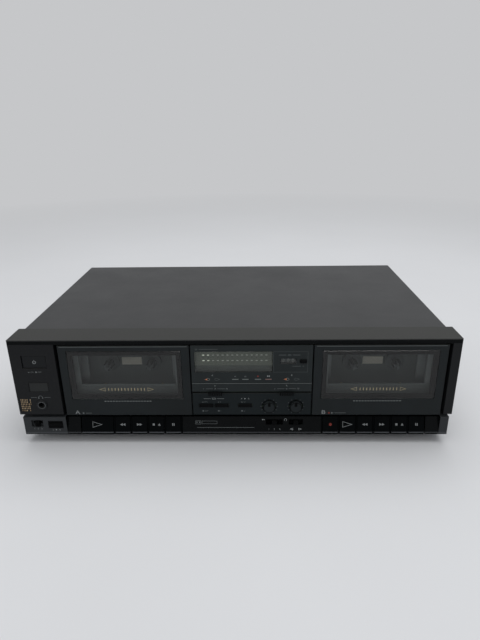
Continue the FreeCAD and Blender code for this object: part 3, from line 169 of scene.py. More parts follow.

# %% [markdown]
# ## Moulded ABS with a spark-eroded grain
#
# The frame, doors and panels are black ABS from a mould whose steel was etched to a fine grain. The grain
# scatters a highlight into a soft grey sheen, which is why black plastic looks dark grey in a bright room.
# A noise bump a third of a millimetre across gives that scatter, a slow noise varies the roughness where
# hands have polished it, and a third lays a trace of dust. Faces and edges that look up are painted
# paler than the front: a painted highlight of the light from above. The foot of a cassette holder is
# painted darker and browner: a painted shade.
# A flat colour would look like a paper cut-out.

# %% Moulded plastics
FOOT_SHADE_FROM, FOOT_SHADE_TO, FOOT_SHADE_BROWN = 50.0, 56.0, "#2b2a28"     # heights over which the painted shade at the foot fades out
ABS_IOR = 1.53


def moulded(name, dark, light, rough, specular, grain_mm=0.35, grain=0.25, rub=0.10, dusted=0.03,
            edge_mm=0.35, top_highlight=0.13, grime_and_foot_shade=0.0):
    """Grained plastic with the IOR of ABS; specular is lowered for grain too fine to draw."""
    material, tree, shader, place = new_material(name)
    slow = add(tree, "ShaderNodeTexNoise", {"Vector": place, **blobs(38.0, 3.0)})
    fine = add(tree, "ShaderNodeTexNoise", {"Vector": place, **blobs(grain_mm, 2.0)})
    dust = add(tree, "ShaderNodeTexNoise", {"Vector": place, **blobs(2.2, 6.0, 0.7)})
    rounded = add(tree, "ShaderNodeBevel", {"Radius": edge_mm * MM}, samples=4)
    shade = add(tree, "ShaderNodeValToRGB", {"Fac": slow}, stops=((0.3, dark), (0.7, light)))
    height = add(tree, "ShaderNodeSeparateXYZ", {"Vector": place}).outputs["Z"]
    # painted shade: the colour turns darker and browner towards the foot of the part, below the two heights
    # above
    painted_foot_shade = add(tree, "ShaderNodeMapRange", {"Value": height, "From Min": BASE_Z + FOOT_SHADE_FROM * MM,
                                           "From Max": BASE_Z + FOOT_SHADE_TO * MM,
                                           "To Min": grime_and_foot_shade, "To Max": 0.0})
    foot_shaded = add(tree, "ShaderNodeMix", {"Factor": painted_foot_shade, "A": shade, "B": srgb(FOOT_SHADE_BROWN)},
                data_type="RGBA")
    film = add(tree, "ShaderNodeMapRange", {"Value": dust, "From Min": 0.55, "From Max": 0.8,
                                           "To Max": dusted})
    # painted highlight: faces that look up, and top edges, are mixed towards pale grey as light from above
    # would show them
    facing = add(tree, "ShaderNodeSeparateXYZ", {"Vector": rounded})
    painted_top_highlight = add(tree, "ShaderNodeMapRange", {"Value": facing.outputs["Z"], "From Min": 0.3, "From Max": 1.0,
                                            "To Max": top_highlight})
    dust_and_top_highlight = add(tree, "ShaderNodeMath", {0: film, 1: painted_top_highlight}, operation="ADD")
    dusty_and_top_highlit = add(tree, "ShaderNodeMix", {"Factor": dust_and_top_highlight, "A": foot_shaded, "B": srgb(RUB_AND_HIGHLIGHT_GREY)},
                data_type="RGBA")
    worn = add(tree, "ShaderNodeMix", {"Factor": edge_wear(tree, rounded, dust, rub), "A": dusty_and_top_highlit,
                                       "B": srgb(RUB_AND_HIGHLIGHT_GREY)}, data_type="RGBA")
    grainy = add(tree, "ShaderNodeMapRange", {"Value": fine, **NOISE_SPAN,
                                             "To Min": rough - 0.1, "To Max": rough + 0.02})
    handled = add(tree, "ShaderNodeMath", {0: slow, 1: 0.12, 2: grainy}, operation="MULTIPLY_ADD")
    bump = add(tree, "ShaderNodeBump", {"Height": fine, "Strength": grain, "Distance": 0.04 * MM,
                                        "Normal": rounded})
    wire(tree, shader, {"Base Color": worn, "Roughness": handled, "Normal": bump, "IOR": ABS_IOR,
                        "Specular IOR Level": specular})
    return material


abs_frame = moulded("abs_frame_etched", "#141517", "#181a1b", 0.50, 0.14)
abs_door = moulded("abs_door_etched", "#161a1b", "#1b2022", 0.46, 0.15, edge_mm=0.7)
abs_panel = moulded("abs_panel_etched", "#1a1f20", "#1f2526", 0.50, 0.18)
abs_lower_panel = moulded("abs_lower_panel_etched", "#141a1c", "#191f21", 0.50, 0.11)
abs_cap = moulded("abs_cap_satin", "#131517", "#181a1c", 0.42, 0.14, grain=0.12)
abs_blank = moulded("abs_blank_satin", "#1e2020", "#232525", 0.44, 0.2, grain=0.12)
abs_slider = moulded("abs_slider_black", "#040506", "#070809", 0.40, 0.05, grain=0.1, rub=0.04,
                     dusted=0.01, top_highlight=0.02)
abs_knob = moulded("abs_knob_black", "#14191b", "#1a2022", 0.42, 0.15, grain=0.12, top_highlight=0.03)
# the holders get a painted shade towards their foot
abs_holder = moulded("abs_holder_grey", "#898b89", "#929492", 0.50, 0.4, grime_and_foot_shade=0.45)
abs_hub = moulded("abs_hub_grey", "#585a59", "#616362", 0.5, 0.3)
abs_well = moulded("abs_well_cover", "#656765", "#6f716f", 0.55, 0.3)
felt_black = moulded("felt_black_washer", "#060606", "#0b0b0b", 0.9, 0.02, grain_mm=0.6, grain=0.5)
rubber_black = moulded("rubber_nitrile", "#0f0f10", "#161617", 0.75, 0.3, grain_mm=0.8, grain=0.3)
laminate_green = moulded("laminate_solder_resist", "#23401f", "#2d4d27", 0.4, 0.5, grain_mm=1.5)
print("moulded plastics", [m.name for m in bpy.data.materials if m.name.startswith("abs_")])

# %% [markdown]
# ## Polished styrene for the keys
#
# The keys and the strip between them were moulded against polished steel, so they have a mirror-like skin
# over near-black plastic. Years of fingers leave a greasy film, which shows only as uneven roughness. A thin
# pale line along the lower lip of the keys is a painted highlight, where that edge would catch the light. The
# end blocks of the strip belong to the same moulding, but there the mould was grained like the frame. One
# material does both: it compares the place across the strip with the two lines where the grain stops.

# %% Polished key plastic
KEY_BLACK, KEY_FILM, END_GREY = "#020405", "#060809", "#343638"
LIP_HIGHLIGHT_FROM, LIP_HIGHLIGHT_TO, LIP_HIGHLIGHT_GREY = 2.0, 2.7, "#84878b"     # heights and colour of the painted highlight line on the lower lip
GRAIN_STOPS = (-169.4, 204.3)     # millimetres across, in the grooves beside the end blocks
STYRENE_IOR = 1.59


def polished(name, specular, rough=0.12, end_blocks=False, lip_highlight=0.45):
    """Polished black plastic; the last argument sets how strong the painted highlight on the lip is, from 0
    to 1.
    """
    material, tree, shader, place = new_material(name)
    grease = add(tree, "ShaderNodeTexNoise", {"Vector": place, **blobs(9.0, 5.0, 0.6)})
    fine = add(tree, "ShaderNodeTexNoise", {"Vector": place, **blobs(0.5, 2.0)})
    rounded = add(tree, "ShaderNodeBevel", {"Radius": 0.3 * MM}, samples=4)
    shade = add(tree, "ShaderNodeValToRGB", {"Fac": grease}, stops=((0.35, KEY_BLACK), (0.8, KEY_FILM)))
    gloss = add(tree, "ShaderNodeMapRange", {"Value": grease, "From Min": 0.4, "From Max": 0.75,
                                            "To Min": rough, "To Max": rough + 0.2})
    if end_blocks:
        across = add(tree, "ShaderNodeSeparateXYZ", {"Vector": place})
        left, right = [stop * MM for stop in GRAIN_STOPS]
        low = add(tree, "ShaderNodeMath", {0: across, 1: left}, operation="LESS_THAN")
        high = add(tree, "ShaderNodeMath", {0: across, 1: right}, operation="GREATER_THAN")
        ends = add(tree, "ShaderNodeMath", {0: low, 1: high}, operation="ADD")
        shade = add(tree, "ShaderNodeMix", {"Factor": ends, "A": shade, "B": srgb(END_GREY)},
                    data_type="RGBA")
        gloss = add(tree, "ShaderNodeMath", {0: ends, 1: 0.35, 2: gloss}, operation="MULTIPLY_ADD")
    # painted highlight: a pale band across the lower lip, where its edge would catch the light
    height = add(tree, "ShaderNodeSeparateXYZ", {"Vector": place}).outputs["Z"]
    above = add(tree, "ShaderNodeMath", {0: height, 1: BASE_Z + LIP_HIGHLIGHT_FROM * MM},
                operation="GREATER_THAN")
    below = add(tree, "ShaderNodeMath", {0: height, 1: BASE_Z + LIP_HIGHLIGHT_TO * MM}, operation="LESS_THAN")
    band = add(tree, "ShaderNodeMath", {0: above, 1: below}, operation="MULTIPLY")
    lip = add(tree, "ShaderNodeMath", {0: band, 1: lip_highlight}, operation="MULTIPLY")
    edges = edge_wear(tree, rounded, grease, 0.04)
    rubbed_and_lip_highlight = add(tree, "ShaderNodeMath", {0: edges, 1: lip}, operation="MAXIMUM")
    worn = add(tree, "ShaderNodeMix", {"Factor": rubbed_and_lip_highlight, "A": shade, "B": srgb(LIP_HIGHLIGHT_GREY)},
               data_type="RGBA")
    bump = add(tree, "ShaderNodeBump", {"Height": fine, "Strength": 0.05, "Distance": 0.02 * MM,
                                        "Normal": rounded})
    wire(tree, shader, {"Base Color": worn, "Roughness": gloss, "Normal": bump, "IOR": STYRENE_IOR,
                        "Specular IOR Level": specular})
    return material


styrene_key = polished("styrene_key_polished", 0.03)
styrene_strip = polished("styrene_strip_polished_grained", 0.07, 0.2, end_blocks=True, lip_highlight=0.25)
# black plastic for the band that paints the shadow under the top rail
styrene_shadow_band = polished("styrene_rail_painted_shadow", 0.06, 0.2, lip_highlight=0.0)
styrene_rib = polished("styrene_rib_polished", 0.02, lip_highlight=0.0)
print("key plastics", [m.name for m in (styrene_key, styrene_strip, styrene_shadow_band, styrene_rib)])

# %% [markdown]
# ## Painted and plated metal
#
# The cover, the back and the chassis are thin steel with a semi-matt black baking enamel. Seen from above in
# a bright room the paint turns the light of the walls into an even dark grey. Its skin has a fine orange
# peel, about half a millimetre, a few dull patches where things have stood on it, and corners rubbed down to
# the primer. The shafts of the keys are zinc-plated, the sockets nickel-plated, and the pulleys turned from
# brass bar: there the pattern is stretched along one axis, because rolling and turning leave long fine lines.

# %% Painted and plated metal
PRIMER_GREY = "#6d6e6c"


def enamel(name, dark, light, rough, specular, peel_mm=0.5):
    material, tree, shader, place = new_material(name)
    patches = add(tree, "ShaderNodeTexNoise", {"Vector": place, **blobs(70.0, 5.0, 0.6)})
    peel = add(tree, "ShaderNodeTexNoise", {"Vector": place, **blobs(peel_mm, 2.0)})
    scuffs = add(tree, "ShaderNodeTexNoise", {"Vector": place, **blobs(3.0, 6.0, 0.7)})
    rounded = add(tree, "ShaderNodeBevel", {"Radius": 0.5 * MM}, samples=4)
    shade = add(tree, "ShaderNodeValToRGB", {"Fac": patches}, stops=((0.3, dark), (0.75, light)))
    worn = add(tree, "ShaderNodeMix", {"Factor": edge_wear(tree, rounded, scuffs, 0.3), "A": shade,
                                       "B": srgb(PRIMER_GREY)}, data_type="RGBA")
    dull = add(tree, "ShaderNodeMapRange", {"Value": patches, **NOISE_SPAN,
                                           "To Min": rough - 0.06, "To Max": rough + 0.08})
    bump = add(tree, "ShaderNodeBump", {"Height": peel, "Strength": 0.3, "Distance": 0.05 * MM,
                                        "Normal": rounded})
    wire(tree, shader, {"Base Color": worn, "Roughness": dull, "Normal": bump,
                        "Specular IOR Level": specular})
    return material


def plated(name, dark, light, rough, stretch=(1, 40, 1)):
    material, tree, shader, place = new_material(name)
    along = add(tree, "ShaderNodeMapping", {"Vector": place, "Scale": stretch})
    lines = add(tree, "ShaderNodeTexNoise", {"Vector": along, **blobs(2.0, 3.0)})
    shade = add(tree, "ShaderNodeValToRGB", {"Fac": lines}, stops=((0.3, dark), (0.7, light)))
    dull = add(tree, "ShaderNodeMapRange", {"Value": lines, **NOISE_SPAN,
                                           "To Min": rough - 0.08, "To Max": rough + 0.1})
    rounded = add(tree, "ShaderNodeBevel", {"Radius": 0.15 * MM}, samples=4)
    bump = add(tree, "ShaderNodeBump", {"Height": lines, "Strength": 0.1, "Distance": 0.02 * MM,
                                        "Normal": rounded})
    wire(tree, shader, {"Base Color": shade, "Roughness": dull, "Normal": bump, "Metallic": 1.0})
    return material


enamel_cover = enamel("enamel_black_semi_matt", "#262728", "#2b2c2d", 0.46, 0.34)
enamel_screw = enamel("oxide_black_screws", "#131313", "#1c1c1c", 0.4, 0.5, 0.8)
zinc_sheet = plated("zinc_plated_sheet", "#8f9087", "#aaab9f", 0.42)
nickel = plated("nickel_plated_shell", "#8c8c8a", "#a8a8a4", 0.28)
black_nickel = plated("nickel_black_plated_ring", "#484a4b", "#5c5e5f", 0.3)
turned_brass = plated("turned_brass", "#a08845", "#c2a860", 0.3)
permalloy = plated("permalloy_head_polished", "#a7a7a5", "#c4c4c0", 0.15)
gold_foil = plated("foil_gold_stamped", "#665038", "#d2bb98", 0.4, (1, 1, 1))
print("metals", [m.name for m in (enamel_cover, zinc_sheet, nickel, turned_brass, gold_foil)])

# %% [markdown]
# ## Smoked acrylic
#
# The windows are smoked acrylic. Real acrylic refracts, but this sheet is 2 mm thin and flat, so the bend
# can't be seen. So light goes straight on through a tint, and a Fresnel share of it, that of IOR 1.49, is
# mirrored instead. The mirror is switched off where a ray leaves by the back of a face, because there the
# node would see total reflection, which a flat sheet never shows. A glass shader would look the same, but it
# stops the lamps' light on its way in, and the wells behind would go black. Dust makes the surface readable.

# %% Window materials
ACRYLIC_IOR, ACRYLIC_ROUGH = 1.49, 0.05
LEAST_DUST, MOST_DUST = 0.004, 0.012


def acrylic(name, tint):
    material, tree, shader, place = new_material(name, "ShaderNodeMixShader")
    dust = add(tree, "ShaderNodeTexNoise", {"Vector": place, **blobs(1.6, 6.0, 0.7)})
    smear = add(tree, "ShaderNodeTexNoise", {"Vector": place, **blobs(24.0, 4.0, 0.6)})
    hazy = add(tree, "ShaderNodeMapRange", {"Value": smear, **NOISE_SPAN, "To Min": ACRYLIC_ROUGH,
                                           "To Max": ACRYLIC_ROUGH + 0.04})
    gloss = add(tree, "ShaderNodeBsdfGlossy", {"Roughness": hazy})
    sight = add(tree, "ShaderNodeBsdfTransparent", {"Color": srgb(tint)})
    mirrored = add(tree, "ShaderNodeFresnel", {"IOR": ACRYLIC_IOR})
    behind = add(tree, "ShaderNodeNewGeometry").outputs["Backfacing"]
    outside = add(tree, "ShaderNodeMath", {0: 1.0, 1: behind}, operation="SUBTRACT")
    share = add(tree, "ShaderNodeMath", {0: mirrored, 1: outside}, operation="MULTIPLY")
    pane = add(tree, "ShaderNodeMixShader", {0: share, 1: sight, 2: gloss})
    specks = add(tree, "ShaderNodeBsdfDiffuse", {"Color": srgb(RUB_AND_HIGHLIGHT_GREY)})
    film = add(tree, "ShaderNodeMapRange", {"Value": dust, "From Min": 0.5, "From Max": 0.85,
                                           "To Min": LEAST_DUST, "To Max": MOST_DUST})
    wire(tree, shader, {0: film, 1: pane, 2: specks})
    return material


door_acrylic = acrylic("acrylic_smoked_door", "#dde0e0")
meter_acrylic = acrylic("acrylic_smoked_meter", "#e4e6e4")
print("acrylics", door_acrylic.name, meter_acrylic.name)

# %% [markdown]
# ## Inks, lamps and small finishes
#
# Silk-screened ink is a thin matt film with slightly uneven density. Lamps are plastic lenses that glow when
# lit. Each ink and lamp gets a faint mottle, because a print seen close is never even. Cards, films and small
# coloured plastics are as plain as an ink, so they share its recipe with a larger mottle.

# %% Inks and lamps
THIN_INK = "#202020"              # what shows through where an ink is thin


def ink(name, code, rough=0.7, thinnest=0.25, mottle_mm=0.6, specular=0.25):
    material, tree, shader, place = new_material(name)
    mottle = add(tree, "ShaderNodeTexNoise", {"Vector": place, **blobs(mottle_mm, 3.0)})
    thin = add(tree, "ShaderNodeMapRange", {"Value": mottle, **NOISE_SPAN, "To Max": thinnest})
    shade = add(tree, "ShaderNodeMix", {"Factor": thin, "A": srgb(code), "B": srgb(THIN_INK)},
                data_type="RGBA")
    dull = add(tree, "ShaderNodeMapRange", {"Value": mottle, **NOISE_SPAN,
                                           "To Min": rough - 0.1, "To Max": rough + 0.1})
    wire(tree, shader, {"Base Color": shade, "Roughness": dull, "Specular IOR Level": specular})
    return material


def lamp(name, edge, core, strength):
    """Lit lens: colour from within, under a clear skin."""
    material, tree, shader, place = new_material(name)
    mottle = add(tree, "ShaderNodeTexNoise", {"Vector": place, **blobs(1.2, 2.0)})
    glow = add(tree, "ShaderNodeValToRGB", {"Fac": mottle}, stops=((0.3, edge), (0.75, core)))
    dull = add(tree, "ShaderNodeMapRange", {"Value": mottle, "To Min": 0.15, "To Max": 0.4})
    wire(tree, shader, {"Base Color": glow, "Emission Color": glow, "Roughness": dull,
                        "Emission Strength": strength})
    return material


ink_white = ink("ink_light_grey", "#9ca0a0")
ink_black = ink("ink_black", "#030303", 0.5, 0.05, specular=0.04)
ink_soft = ink("ink_mid_grey", "#6d7272")
ink_faint = ink("ink_dark_grey", "#454a4a")
ink_amber = ink("ink_warm_grey", "#b3a888")
ink_red = ink("ink_signal_red", "#80332a")
ink_key = ink("ink_key_grey", "#858989")
lamp_amber = lamp("lens_amber_lit", "#a8502c", "#d08a5c", 0.3)
lamp_pale = lamp("segment_pale_lit", "#c9cfc0", "#eef2e4", 0.4)
segment_grey = ink("segment_unlit", "#b4b8b0", 0.4)
lens_grey = ink("lens_unlit_grey", "#6c7270", 0.35)
lens_pink = ink("lens_unlit_pink", "#7d625e", 0.35)
card_pale = ink("card_meter_scale", "#7b7e77", 0.6, 0.05, 12.0)
card_dark = ink("card_meter_lower", "#5f6362", 0.6, 0.05, 12.0)
film_beige = ink("film_reflector_beige", "#e2d6c6", 0.45, 0.06, 6.0)
drum_grey = ink("styrene_drum_grey", "#5c6063", 0.5, 0.1, 3.0)
drum_white = ink("ink_drum_white", "#b4b5b2", 0.6)
insulator_red = ink("polythene_red", "#a02c26", 0.4)
insulator_white = ink("polythene_white", "#cfcdc4", 0.4)
print("inks and lenses", len([m for m in bpy.data.materials if m.name.startswith(("ink", "lens"))]))

# %% [markdown]
# ## Dressing the ready-made parts
#
# Every part of the deck already sits in place as its own mesh, so a finish is given by putting a material in
# its slot. A short list that pairs each finish with the parts that have it reads like a works order.

# %% Assign finishes to the parts
key_nodes = [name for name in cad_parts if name.startswith("key_") and name != "key_shafts"]
slider_nodes = ["timer_slider", "mode_slider", "direction_slider", "tape_select_a", "tape_select_b"]
push_nodes = ["noise_button", "noise_type_button", "speed_button", "dub_button", "counter_reset"]
knob_nodes = ["balance_knob", "level_knob"]
drum_nodes = ["counter_units", "counter_tens", "counter_hundreds"]
both_sides = [(side, deck) for side, way in SIDES for deck in DECKS]
finishes = {
    enamel_cover: ["top_cover", "rear_panel", "bottom_chassis"],
    zinc_sheet: ["key_shafts"],
    abs_well: ["tape_transports"],
    abs_frame: ["front_frame"],
    styrene_strip: ["lower_trim"],
    abs_panel: ["meter_panel"],
    abs_lower_panel: ["control_panel"],
    abs_door: ["door_a", "door_b"],
    door_acrylic: ["door_window_a", "door_window_b"],
    meter_acrylic: ["meter_window"],
    abs_holder: ["cassette_holder_a", "cassette_holder_b"],
    styrene_key: key_nodes,
    abs_cap: ["power_button", "phone_jack"],
    abs_slider: slider_nodes + push_nodes + ["rear_sockets"],
    abs_knob: knob_nodes,
    abs_hub: ["spindle_%s_%s" % pair for pair in both_sides],
    drum_grey: drum_nodes,
    turned_brass: ["motor_pulley_a", "motor_pulley_b"]
                  + ["capstan_%s_%s" % pair for pair in both_sides],
    permalloy: ["head_carriage_a", "head_carriage_b"],
    enamel_screw: ["case_screws"],
    rubber_black: ["feet"],
    laminate_green: ["circuit_boards"],
}
for material, names in finishes.items():
    for name in names:
        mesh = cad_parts[name].data
        mesh.materials.clear()
        mesh.materials.append(material)
dressed = [name for names in finishes.values() for name in names]
print("dressed", len(dressed), "parts; without a finish:", sorted(set(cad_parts) - set(dressed)))

# %% [markdown]
# ## Making new pieces
#
# New pieces are placed through their vertices, so that each object stays at the origin. That keeps a pattern
# in object coordinates still when the piece moves with its body. Doubles are merged and faces are turned
# outwards here, once, so that no shape below needs to think about it.

# %% Piece helper
SAME_POINT = 1e-7                 # metres; corners nearer than this are one


def piece(name, verts, faces, material, body):
    """Mesh object from points in scene metres, riding on a body."""
    mesh = bpy.data.meshes.new(name)
    mesh.from_pydata([tuple(v) for v in verts], [], faces)
    work = bmesh.new()
    work.from_mesh(mesh)
    bmesh.ops.remove_doubles(work, verts=work.verts, dist=SAME_POINT)
    bmesh.ops.recalc_face_normals(work, faces=work.faces)
    work.to_mesh(mesh)
    work.free()
    mesh.materials.append(material)
    obj = bpy.data.objects.new(name, mesh)
    bpy.context.scene.collection.objects.link(obj)
    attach(obj, body)
    return obj


def plate(name, x, z, width, height, y0, y1, bevel, material, body, slot):
    """Upright plate whose front edge is bevelled."""
    verts, faces = [], []
    for inset, y in ((bevel, y0), (0, y0 + bevel), (0, y1)):
        w, h = width / 2 - inset, height / 2 - inset
        verts += [at(x - w, y, z - h), at(x + w, y, z - h), at(x + w, y, z + h), at(x - w, y, z + h)]
    for ring in (0, 4):
        faces += [[ring + i, ring + (i + 1) % 4, ring + 4 + (i + 1) % 4, ring + 4 + i] for i in range(4)]
    return piece(name, verts, [[0, 1, 2, 3], [8, 9, 10, 11]] + faces, material, body)


def turned(name, centre, profile, material, body, sides=32):
    """Ring round an axis that runs from front to back: profile is a closed line of (radius, y)."""
    x, z = centre
    verts = [at(x + r * math.cos(math.tau * i / sides), y, z + r * math.sin(math.tau * i / sides))
             for i in range(sides) for r, y in profile]
    n = len(profile)
    faces = [[i * n + k, i * n + (k + 1) % n, (i + 1) % sides * n + (k + 1) % n, (i + 1) % sides * n + k]
             for i in range(sides) for k in range(n)]
    return piece(name, verts, faces, material, body)


# %% [markdown]
# ## Printed marks
#
# Each symbol is a flat shape in a local plane: u across, v up, in millimetres. A surface function then lays
# it on a flat face or on the leaning face of the keys. Marks of one ink on one body become one mesh, a film
# a few hundredths of a millimetre thick. A texture could do this too, but real geometry stays sharp close up.

# %% Symbol shapes


def box_mark(u, v, w, h):
    left, right, low, high = u - w / 2, u + w / 2, v - h / 2, v + h / 2
    return [[(left, low), (right, low), (right, high), (left, high)]]


def box_pair(u, v, off, w, h=0.3):
    """Two boxes, off to either side of u: fine lines beside a sign, or bars."""
    return box_mark(u - off, v, w, h) + box_mark(u + off, v, w, h)


def disc_mark(u, v, r, sides=20):
    return [[(u + r * math.cos(math.tau * i / sides), v + r * math.sin(math.tau * i / sides))
             for i in range(sides)]]


def triangle_mark(u, v, w, h):
    """Filled triangle w wide; a negative w points it left."""
    return [[(u - w / 2, v - h / 2), (u + w / 2, v), (u - w / 2, v + h / 2)]]


def outline_mark(shape, width):
    """Band just inside a convex outline: each corner moves in along the line that halves it."""
    points = [Vector(p) for p in shape[0]]
    count = len(points)
    inner = []
    for i, corner in enumerate(points):
        back = (points[i - 1] - corner).normalized()
        on = (points[(i + 1) % count] - corner).normalized()
        half_angle = back.angle(on) / 2
        inner.append(corner + (back + on).normalized() * width / math.sin(half_angle))
    return [[points[i], points[(i + 1) % count], inner[(i + 1) % count], inner[i]] for i in range(count)]


def arrow_pair(u, v, off, w, h, width):
    """Two open triangles that point away from each other."""
    return [band for way in (-1, 1)
            for band in outline_mark(triangle_mark(u + way * off, v, way * w, h), width)]


print("an open triangle is made of", len(outline_mark(triangle_mark(0, 0, 3, 3), 0.3)), "faces")

# %% Arcs and lettering
CAP_SHARE, STROKE_CUT = 0.7, 0.012     # of a font's size: a capital's height, and how far strokes are thinned


def arc_mark(u, v, r, width, start, end, steps=16):
    """Band along an arc; angles in degrees from the right, anticlockwise."""
    faces = []
    for i in range(steps):
        a0, a1 = [math.radians(start + (end - start) * k / steps) for k in (i, i + 1)]
        ring = [(r, a0), (r, a1), (r - width, a1), (r - width, a0)]
        faces.append([(u + q * math.cos(a), v + q * math.sin(a)) for q, a in ring])
    return faces


def text_mark(words, u, v, cap, align="CENTER", wide=1.0):
    """Lettering with capitals cap millimetres high, middle of the line at (u, v), stretched wide times."""
    curve = bpy.data.curves.new("words", "FONT")
    curve.body = words
    curve.size = cap / CAP_SHARE
    curve.align_x = align
    curve.resolution_u = 3
    curve.offset = -STROKE_CUT * curve.size
    holder = bpy.data.objects.new("words", curve)
    mesh = bpy.data.meshes.new_from_object(holder)
    spots = [(u + wide * vertex.co.x, v - cap / 2 + vertex.co.y) for vertex in mesh.vertices]
    faces = [[spots[i] for i in polygon.vertices] for polygon in mesh.polygons]
    bpy.data.objects.remove(holder)
    bpy.data.curves.remove(curve)
    bpy.data.meshes.remove(mesh)
    return faces


print("the letter A is made of", len(text_mark("A", 0, 0, 1)), "faces")

# %% Signs made of several marks
SMALL_CAP = 1.5


def spaced_text(words, u, v, step, cap=SMALL_CAP):
    """Words or figures set evenly about u, step apart."""
    first = u - step * (len(words) - 1) / 2
    return [face for i, word in enumerate(words) for face in text_mark(word, first + i * step, v, cap)]


def copy_sign(u, v, off):
    """From deck A to deck B."""
    return text_mark("A", u - off, v, SMALL_CAP) + triangle_mark(u, v, 1.5, 1.5) \
        + text_mark("B", u + off, v, SMALL_CAP)


print("the copy sign has", len(copy_sign(0, 0, 3.5)), "faces")

# %% Laying marks on a surface
INK_LIFT, INK_DEEP = 0.03, 0.06   # how far a film stands proud of its surface and reaches into it
prints = {}


def flat(y):
    """Surface: the upright plane y behind the frame's face."""
    return lambda u, v: (u, y, v)


KEY_LIP, KEY_LEAN = 1.7, 4.6
key_top = panel_box("key_pause_a")[1].z


def leaning(u, v):
    """Surface: the face of the keys and of the strip, which leans back from its lip."""
    return u, KEY_LEAN * (v - KEY_LIP) / (key_top - KEY_LIP), v


def mark(body, finish, surface, *shapes):
    """Queue flat shapes to be printed on a surface of a body."""
    batch = prints.setdefault((body, finish), [])
    for shape in shapes:
        batch += [[surface(u, v) for u, v in face] for face in shape]


def film(name, faces, towards, material, body, slot):
    """Thin closed film under flat faces; towards(point, depth) moves a point in by depth."""
    verts, polygons = [], []
    for face in faces:
        start, n = len(verts), len(face)
        verts += [towards(p, -INK_LIFT) for p in face] + [towards(p, INK_DEEP) for p in face]
        polygons += [[start + i for i in range(n)], [start + n + i for i in reversed(range(n))]]
        polygons += [[start + i, start + n + i, start + n + (i + 1) % n, start + (i + 1) % n]
                     for i in range(n)]
    return piece(name, verts, polygons, material, body)


print("keys lean back", KEY_LEAN, "mm over", round(key_top - KEY_LIP, 1), "mm")

# %% [markdown]
# ## Key symbols
#
# Tape keys carry the same symbols the world over: a triangle for play, doubled for wind, a square for stop
# with a roofed triangle for eject, bars for pause and a red dot for record. They lie on the leaning face of
# each key and move with it.

# %% Print the keys
KEY_MARK_Z, WIND_W = 10.2, 2.7


def wind(u, v, way):
    """Doubled triangle, WIND_W wide each."""
    return [face for off in (-WIND_W / 2, WIND_W / 2)
            for face in triangle_mark(u + off, v, WIND_W * way, 2.5)]


def bars(u, v, h=2.5):
    return box_pair(u, v, 0.75, 0.9, h)


def eject(u, v):
    roof = [(u - 1.2, v - 0.5), (u + 1.2, v - 0.5), (u, v + 1.2)]
    return [roof] + box_mark(u, v - 1.05, 2.4, 0.45)


key_symbols = {
    "play": lambda u, v: outline_mark(triangle_mark(u, v, 10.0, 6.0), 0.38),
    "rewind": lambda u, v: wind(u, v, -1),
    "forward": lambda u, v: wind(u, v, 1),
    "stop": lambda u, v: box_mark(u - 2.8, v, 2.1, 2.1) + eject(u + 2.9, v),
    "pause": bars,
    "record": lambda u, v: disc_mark(u, v, 1.4),
}
for node in key_nodes:
    symbol = node.split("_")[1]
    mark(node, ink_red if symbol == "record" else ink_key, leaning,
         key_symbols[symbol](middle(node).x, KEY_MARK_Z))
print("keys printed", len(key_nodes))

# %% [markdown]
# ## Printing on the left block and the strip
#
# The front carries generic marks only: a power sign, a headphone sign, ON and OFF, numbers on scales, a
# cassette, and arrows for the direction of the tape. Captions are replaced by fine lines and empty frames.

# %% Print the left block
power, jack = middle("power_button"), middle("phone_jack")
POWER_R, POWER_STROKE, HEADBAND_R = 1.7, 0.4, 2.1
mark("power_button", ink_white, flat(panel_box("power_button")[0].y),
     arc_mark(power.x, power.z - 0.2, POWER_R, POWER_STROKE, -230, 50),
     box_mark(power.x, power.z + 1.1, POWER_STROKE, 1.9))
frame_face = flat(0.0)
ON_OFF_Z, HEADPHONE_Z = 71.0, 42.5
mark("chassis", ink_soft, frame_face,
     box_mark(-198.2, ON_OFF_Z - 0.2, 1.5, 0.7), text_mark("ON", -196.6, ON_OFF_Z, SMALL_CAP, "LEFT"),
     box_mark(-191.0, ON_OFF_Z, 1.5, 1.5), text_mark("OFF", -189.4, ON_OFF_Z, SMALL_CAP, "LEFT"),
     arc_mark(jack.x, HEADPHONE_Z + 0.4, HEADBAND_R, 0.4, 0, 180),
     box_pair(jack.x, HEADPHONE_Z, 1.9, 0.9, 1.7), box_pair(jack.x, HEADPHONE_Z + 0.5, 6.8, 6.0))
mark("chassis", ink_white, frame_face, spaced_text("102", middle("timer_slider").x, 6.8, 3.7),
     copy_sign(middle("dub_button").x, 5.6, 3.6))
print("left block printed; headphone sign over x", round(jack.x, 1))

# %% Print the strip
STRIP_NOTE_Z, STRIP_SIGN_Z = 5.6, 12.3
mode_x, way_x = middle("mode_slider").x, middle("direction_slider").x
mark("chassis", ink_white, leaning,
     triangle_mark(mode_x - 12.0, 15.0, -1.3, 1.6), box_mark(mode_x - 10.4, 15.0, 2.0, 0.4),
     arc_mark(mode_x + 11.2, 14.8, 1.4, 0.35, -60, 230), spaced_text("123", mode_x, STRIP_NOTE_Z, 5.5),
     arrow_pair(way_x, STRIP_NOTE_Z, 4.4, 3.2, 2.2, 0.35))
mark("chassis", ink_soft, leaning, outline_mark(box_mark(-36.2, STRIP_SIGN_Z, 5.6, 3.5), 0.3),
     disc_mark(-37.5, STRIP_SIGN_Z + 0.2, 0.6, 12), disc_mark(-34.9, STRIP_SIGN_Z + 0.2, 0.6, 12),
     outline_mark(box_mark(-24.8, STRIP_SIGN_Z, 15.4, 3.0), 0.25), box_mark(-8.6, 7.2, 58.0, 0.3))
print("strip printed; mode at x", round(mode_x, 1), "direction at x", round(way_x, 1))

